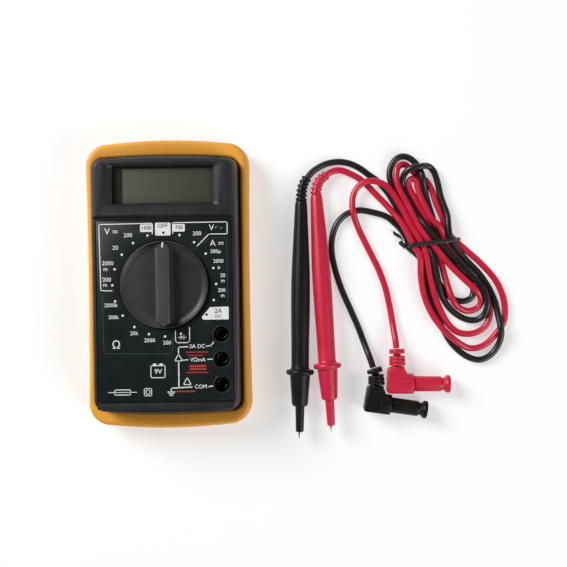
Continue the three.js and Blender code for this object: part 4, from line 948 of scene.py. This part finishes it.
def makeDial():
    sizes = dialSizes
    radius, top, floor = sizes["radius"], sizes["top"], sizes["floor"]
    inner = radius - sizes["rim"]
    wide, foot, shoulder = radius + sizes["flange"], sizes["flangeFoot"], sizes["flangeTop"]
    disc = turned("dialDisc", [
        (0, foot), (wide, foot), (wide, shoulder), (radius, shoulder), (radius, top, 0.4),
        (inner, top, 0.3), (inner - 0.5, top - 0.55, 0.4), (radius - sizes["dish"], floor, 0.7),
        (0, floor)], upright, 120)
    length = 2 * (inner + 0.1)
    profile = [(floor - 1, 0.8, 0), (floor, 0.8, 0), (floor + 0.4, 0.45, 0.05), (floor + 1, 0.3, 0.15),
               (sizes["gripTop"] - 1.6, 0, 0.5), (sizes["gripTop"] - 0.8, -0.08, 0.7),
               (sizes["gripTop"] - 0.35, -0.3, 0.95), (sizes["gripTop"] - 0.1, -0.7, 1.3),
               (sizes["gripTop"], -1.4, 1.9)]
    grip = loft("grip", [(height, outline(sizes["gripWidth"] + 2 * flare, length - 2 * back, 1.9, 1.0))
                         for height, flare, back in profile])
    section = [(15.2, 36), (21.6, 30.4), (21.6, 40), (15.2, 40)]
    slope = addMesh("slope", [(x * mm, y * mm, z * mm) for x in (-6, 6) for y, z in section],
                    [[0, 1, 2, 3], [7, 6, 5, 4], [0, 4, 5, 1], [1, 5, 6, 2], [2, 6, 7, 3], [3, 7, 4, 0]])
    combine(grip, [slope], "DIFFERENCE")
    combine(disc, [grip], "UNION")
    giveLook(disc, dialGrey, "dial", ["range_dial"])
    line = loft("pointerLine", insetLevels(sizes["lineWidth"], sizes["lineLength"], 0.2,
                                           [(-0.2, 0), (0.02, 0), (0.05, 0.05)]))
    along, up = sizes["lineAt"]
    line.data.transform(Matrix.Translation((0, along * mm, up * mm))
                        @ Matrix.Rotation(-math.atan(sizes["lineSlope"]), 4, "X"))
    giveLook(line, markWhite, "dial")


makeDial()


# Jack tubes with a rounded mouth, their brass painted dark as the shade deep in the wells.
def makeJacks():
    for y, node in zip(frontSizes["jackYs"], ["jack_com", "jack_volt_ohm", "jack_two_amp"]):
        place = Matrix.Translation((frontSizes["jackX"] * mm, y * mm, 0)) @ upright
        tube = turned(node.replace("jack_", "jackTube_"), [
            (0, 9.8), (2.8, 9.8), (2.8, 23, 0.3), (2.05, 23, 0.3), (2.05, 11), (0, 11)], place, 48)
        giveLook(tube, shadedJackBrass, "meter", [node])
        rim = pipe(node.replace("jack_", "jackRim_"), frontSizes["jackX"], y, 3.7, 4.2, 27.9, 28.5,
                   soft=0.2)
        giveLook(rim, caseBlack, "meter")


makeJacks()
print("dial and jacks made")

# Probes. A probe's own frame points along -Y with the guard at its origin.
probeSizes = {"height": 7.1, "slope": 0.0475}
probeProfile = [
    (0, 10), (0.85, 10), (0.85, -29.2), (1.5, -29.2, 0.4), (1.95, -28.8, 0.5), (2.25, -16.8),
    (2.5, -16.7), (3.3, -16.6, 0.5), (3.95, -15.8, 0.9), (4.75, -5, 0), (4.95, -1.6, 0.5),
    (5.6, -1.25, 0.3), (6.5, -1.2, 0.8), (7.0, 0, 1.0), (6.5, 1.2, 0.8), (4.9, 1.3, 0.5),
    (4.35, 2.2, 0.6), (4.4, 14), (4.7, 32, 6), (4.6, 48, 6), (3.8, 66, 6), (3.0, 82.8, 0.5),
    (2.6, 84.3, 0.5), (1.9, 84.5), (0, 84.5),
]
needleProfile = [(0, -32.4), (0.25, -32.2, 0.1), (0.8, -30.4, 0.5), (0.8, 9), (0, 9)]
probes = {
    "Black": {"x": 63.2, "y": -44.0, "turn": -0.02, "look": blackMoulded, "slot": "black_plastic",
              "relief": [(64.6, 37.6, 3.35), (64.95, 40.9, 3.1), (65.35, 45.5, 2.9), (66.2, 48.6, 2.7),
                         (67.6, 51.0, 2.5)]},
    "Red": {"x": 76.6, "y": -41.1, "turn": 0.05, "look": redMoulded, "slot": "red_plastic",
            "relief": [(72.4, 40.6, 3.35), (72.3, 43.9, 3.1), (72.9, 47.6, 2.9), (74.5, 50.5, 2.7),
                       (77.1, 52.5, 2.5)]},
}


# Rings strung along a curve, smaller towards its end.
def ribsAlong():
    tree, given = startTree("ribsAlong", {
        "Count": "Int", "Start Radius": "Float", "End Radius": "Float", "Width": "Float"})
    points = addNode(tree, "GeometryNodeResampleCurve", {
        "Curve": given["Geometry"], "Count": given["Count"]})
    ring = addNode(tree, "GeometryNodeMeshCylinder", {"Vertices": 36, "Radius": 1.0, "Depth": 1.0})
    along = addNode(tree, "GeometryNodeSplineParameter")
    radius = addNode(tree, "ShaderNodeMapRange", {
        "Value": along.outputs["Factor"], "To Min": given["Start Radius"],
        "To Max": given["End Radius"]})
    size = addNode(tree, "ShaderNodeCombineXYZ", {
        "X": radius.outputs[0], "Y": radius.outputs[0], "Z": given["Width"]})
    tangent = addNode(tree, "GeometryNodeInputTangent")
    turn = addNode(tree, "FunctionNodeAlignRotationToVector", {"Vector": tangent.outputs[0]}, axis="Z")
    placed = addNode(tree, "GeometryNodeInstanceOnPoints", {
        "Points": points.outputs["Curve"], "Instance": ring.outputs["Mesh"], "Rotation": turn.outputs[0],
        "Scale": size.outputs[0]})
    return endTree(tree, placed.outputs["Instances"], given["Finish"])


# A tapered core along a line, closed at both ends.
def taperedCore(name, points, radii, sides=32):
    line = smoothLine(points, 0.6)
    rings, count = [], len(line)
    for i, place in enumerate(line):
        way = Vector(line[min(i + 1, count - 1)] - line[max(i - 1, 0)]).normalized()
        side = way.cross(Vector((0, 0, 1))).normalized()
        up = side.cross(way)
        radius = radii[0] + (radii[1] - radii[0]) * i / (count - 1)
        rings.append([Vector(place) + radius * (math.cos(a) * side + math.sin(a) * up)
                      for a in np.linspace(0, 2 * math.pi, sides, endpoint=False)])
    points = [p * mm for ring in rings for p in ring]
    faces = [list(range(sides)), [(count - 1) * sides + i for i in range(sides)][::-1]]
    for level in range(count - 1):
        for i in range(sides):
            a, b = level * sides + i, level * sides + (i + 1) % sides
            faces.append([a, b, b + sides, a + sides])
    return addMesh(name, points, faces)


def makeProbes():
    tree = ribsAlong()
    for colour, probe in probes.items():
        shade = colour.lower()
        place = (Matrix.Translation((probe["x"] * mm, probe["y"] * mm, probeSizes["height"] * mm))
                 @ Matrix.Rotation(probe["turn"], 4, "Z")
                 @ Matrix.Rotation(-math.atan(probeSizes["slope"]), 4, "X"))
        handle = turned("probeHandle" + colour, probeProfile, place, 64)
        giveLook(handle, probe["look"], "test_leads", [f"probe_{shade}_handle"])
        needle = turned("probeNeedle" + colour, needleProfile, place, 32)
        giveLook(needle, nickel, "test_leads", [f"probe_{shade}_needle"])
        core = taperedCore("core", probe["relief"], (2.2, 1.85))
        ribs = fromNodes("ribs", curveThrough("ribLine", probe["relief"][1:])[0], tree, {
            "Count": 6, "Start Radius": 2.8 * mm, "End Radius": 2.45 * mm, "Width": 1.2 * mm,
            "Finish": probe["look"]})
        tidyMesh(ribs)
        bevelEdges(ribs, 0.3)
        relief = joinMeshes("probeRelief" + colour, [core, ribs])
        giveLook(relief, probe["look"], "test_leads", [f"probe_{shade}_strain_relief"])


makeProbes()

# Plugs lie flat, with the pin along +X and the strain relief along +Y in their own frame.
plugs = {
    "Black": {"x": 99.3, "y": -59.7, "turn": -0.15, "bend": 0.46, "shift": 0.3,
              "look": blackMoulded, "slot": "black_plastic"},
    "Red": {"x": 110.5, "y": -50.5, "turn": -0.02, "bend": 0.06, "shift": 0.5,
            "look": redMoulded, "slot": "red_plastic"},
}
plugHeight = 5.1  # of the pin's middle over the table
plugOutline = [(-4.6, -4.6), (8.2, -4.6), (7.3, 3.9), (4.9, 5.2), (4.0, 7.8), (-4.2, 7.8)]


# A relief curves over towards the side its cord comes from.
def bendRelief(obj, bend, shift, start=6.0, length=11.0):
    for vertex in obj.data.vertices:
        x, y = vertex.co.x / mm, vertex.co.y / mm
        turn = bend * max(y - start, 0) / length
        radius = length / bend
        along = min(y, start) + radius * math.sin(turn)
        aside = shift - radius * (1 - math.cos(turn))
        vertex.co.x, vertex.co.y = (aside + x * math.cos(turn)) * mm, (along + x * math.sin(turn)) * mm


def makePlugs():
    sideways = Matrix.Rotation(-math.pi / 2, 4, "Z")  # turns a profile's axis from Y to X
    for colour, plug in plugs.items():
        shade = colour.lower()
        place = (Matrix.Translation((plug["x"] * mm, plug["y"] * mm, plugHeight * mm))
                 @ Matrix.Rotation(plug["turn"], 4, "Z"))
        body = loft("plugBody" + colour, [(height, plugOutline) for height in (-4.5, 4.5)])
        tidyMesh(body)
        bevelEdges(body, 1.2, 4)
        collar = turned("collar", [(0, 3), (5, 3, 0.3), (5, 8.5, 0.5), (0, 8.5)], sideways, 48)
        relief = turned("relief", [
            (0, 6), (3.7, 6), (3.7, 8.4, 0.35), (1.9, 8.4), (1.9, 9), (4.1, 9, 0.3), (4.1, 10.3, 0.2),
            (3.6, 10.35), (3.6, 10.75), (4.1, 10.8, 0.2), (4.0, 12.1, 0.2), (3.5, 12.15), (3.5, 12.5),
            (4.0, 12.55, 0.2), (3.9, 13.6, 0.35), (1.85, 13.6), (1.85, 14.9), (3.9, 14.9, 0.35),
            (3.8, 17, 0.4), (1.7, 17), (0, 17)], Matrix(), 48)
        bendRelief(relief, plug["bend"], plug["shift"])
        tidyMesh(collar)
        tidyMesh(relief)
        combine(body, [collar, relief], "UNION")
        body.data.transform(place)
        giveLook(body, plug["look"], "test_leads", [f"plug_{shade}_body"])
        pin = turned("plugPin" + colour, [
            (0, 3), (1.95, 3), (1.95, 12.4), (1.6, 12.6), (1.75, 17, 2), (1.6, 23.8), (1.3, 24.6, 0.3),
            (0, 24.7)], place @ sideways, 32)
        giveLook(pin, nickel, "test_leads", [f"plug_{shade}_pin"])
        cap = turned("plugCap" + colour, [
            (2.6, 8.8), (3.8, 8.8, 0.25), (3.75, 21.8, 0.5), (3.0, 22.7, 0.5), (3.1, 23.5, 0.5),
            (4.35, 24.6, 0.5), (4.35, 26.4, 0.5), (0, 26.4), (0, 25.0), (2.6, 25.0), (2.6, 8.8)],
            place @ sideways, 48)
        giveLook(cap, plug["look"], f"cap_{shade}", [f"plug_{shade}_cap"])


makePlugs()
print("probes and plugs made")

# Tie: a flat strip drawn tight round the cords, with its two ends twisted together.
tieStrip = {"width": 2.0, "thick": 0.6, "clear": 0.32, "centre": (128.6, 18.6),
            "across": (0.994, 0.112), "along": (0.112, -0.994), "wire": (0.7, 0.65)}


def stripAlong():
    tree, given = startTree("stripAlong", {"Width": "Float", "Thickness": "Float"})
    section = addNode(tree, "GeometryNodeCurvePrimitiveCircle", {"Resolution": 16, "Radius": 0.5})
    shape = addNode(tree, "ShaderNodeCombineXYZ", {
        "X": given["Width"], "Y": given["Thickness"], "Z": 1.0})
    flat = addNode(tree, "GeometryNodeTransform", {
        "Geometry": section.outputs["Curve"], "Scale": shape.outputs[0]})
    facing = addNode(tree, "GeometryNodeSetCurveNormal", {
        "Curve": given["Geometry"], "Normal": (*tieStrip["along"], 0)}, mode="FREE")
    strip = addNode(tree, "GeometryNodeCurveToMesh", {
        "Curve": facing.outputs["Curve"], "Profile Curve": flat.outputs["Geometry"], "Fill Caps": True})
    return endTree(tree, strip.outputs["Mesh"], given["Finish"])


# The tight line round the cords where they cross the tie's plane.
def tieLine(lines):
    centre, across, along = (Vector(tieStrip[key]) for key in ("centre", "across", "along"))
    spots = []
    for line in lines:
        for a, b in zip(line, line[1:]):
            da, db = ((Vector(p[:2]) - centre).dot(along) for p in (a, b))
            if da * db <= 0 and da != db and (Vector(a[:2]) - centre).length < 20:
                p = Vector(a).lerp(Vector(b), da / (da - db))
                spots.append(((Vector(p[:2]) - centre).dot(across), p.z))
    reach = cordSizes["radius"] + tieStrip["clear"]
    cloud = sorted((x + reach * math.cos(a), max(z + reach * math.sin(a), 0.35))
                   for x, z in spots for a in np.linspace(0, 2 * math.pi, 20, endpoint=False))

    def half(points):
        row = []
        for p in points:
            while len(row) > 1 and ((row[-1][0] - row[-2][0]) * (p[1] - row[-2][1])
                                    - (row[-1][1] - row[-2][1]) * (p[0] - row[-2][0])) <= 0:
                row.pop()
            row.append(p)
        return row[:-1]

    hull = half(cloud) + half(cloud[::-1])
    start = min(range(len(hull)), key=lambda i: hull[i][0])
    hull = hull[start:] + hull[:start]
    return [(*(centre + x * across), z) for x, z in hull]


def makeTie():
    ring = tieLine([redLine, blackLine])
    knot = Vector(ring[0]) + Vector((-0.9, 0.2, 0.4))
    tails = [[(110.3, 24.1, 1.3), (112.2, 22.8, 1.5), (114.2, 21.4, 2.0),
              tuple(knot + Vector((-0.4, 0.6, 0.4)))],
             [tuple(knot + Vector((-0.4, -0.5, 0.3))), (115.6, 17.6, 2.2), (117.4, 15.8, 1.5),
              (119.4, 14, 0.9)]]
    path = tails[0] + ring + tails[1]
    strip = fromNodes("twistTie", curveThrough("tieLine", path, 0.5)[0], stripAlong(), {
        "Width": tieStrip["width"] * mm, "Thickness": tieStrip["thick"] * mm, "Finish": tieBlack})
    # the twist itself: the two ends wound round each other
    wound = []
    for phase in (0, math.pi):
        turns = [knot + Vector((-0.75 * t, 0.62 * t, 0.1)) + 0.5 * Vector((
            0.6 * math.cos(4.2 * t + phase), 0.8 * math.cos(4.2 * t + phase), math.sin(4.2 * t + phase)))
            for t in np.linspace(-0.3, 2.6, 16)]
        wound.append(taperedCore("wound", turns, tieStrip["wire"], 12))
    joined = joinMeshes("twistTie", [strip, *wound])
    giveLook(joined, tieBlack, "test_leads", ["twist_tie"])


makeTie()
print("tie made")


# Stage: a pale floor and soft light from the upper left.
stageSizes = {"horizon": 3.8, "overhead": 0.5}


def makeStage():
    floor = addMesh("floor", [(-3, -3, 0), (3, -3, 0), (3, 3, 0), (-3, 3, 0)], [[0, 1, 2, 3]])
    floor.data.materials.append(floorPale)
    world = bpy.data.worlds.new("studio")
    world.use_nodes = True
    tree = world.node_tree
    height = placeNode(tree, "Generated")
    strength = addNode(tree, "ShaderNodeMapRange", {
        "Value": height.outputs["Z"], "From Min": 0.45, "From Max": 0.95,
        "To Min": stageSizes["horizon"], "To Max": stageSizes["overhead"]},
        interpolation_type="SMOOTHSTEP")
    tree.links.new(strength.outputs[0], tree.nodes["Background"].inputs["Strength"])
    scene.world = world
    for name, place, size, power in [
        ("keyLight", (-0.8, 0.6, 0.75), 0.7, 17.0),
        ("fillLight", (0.9, -0.6, 0.7), 0.9, 9.0),
    ]:
        light = bpy.data.lights.new(name, "AREA")
        light.shape = "DISK"
        light.size = size
        light.energy = power
        lamp = addObject(name, light)
        lamp.location = place
        lamp.rotation_euler = (Vector((0.03, 0, 0)) - Vector(place)).to_track_quat("-Z", "Y").to_euler()
    scene.view_settings.view_transform = "Standard"


makeStage()
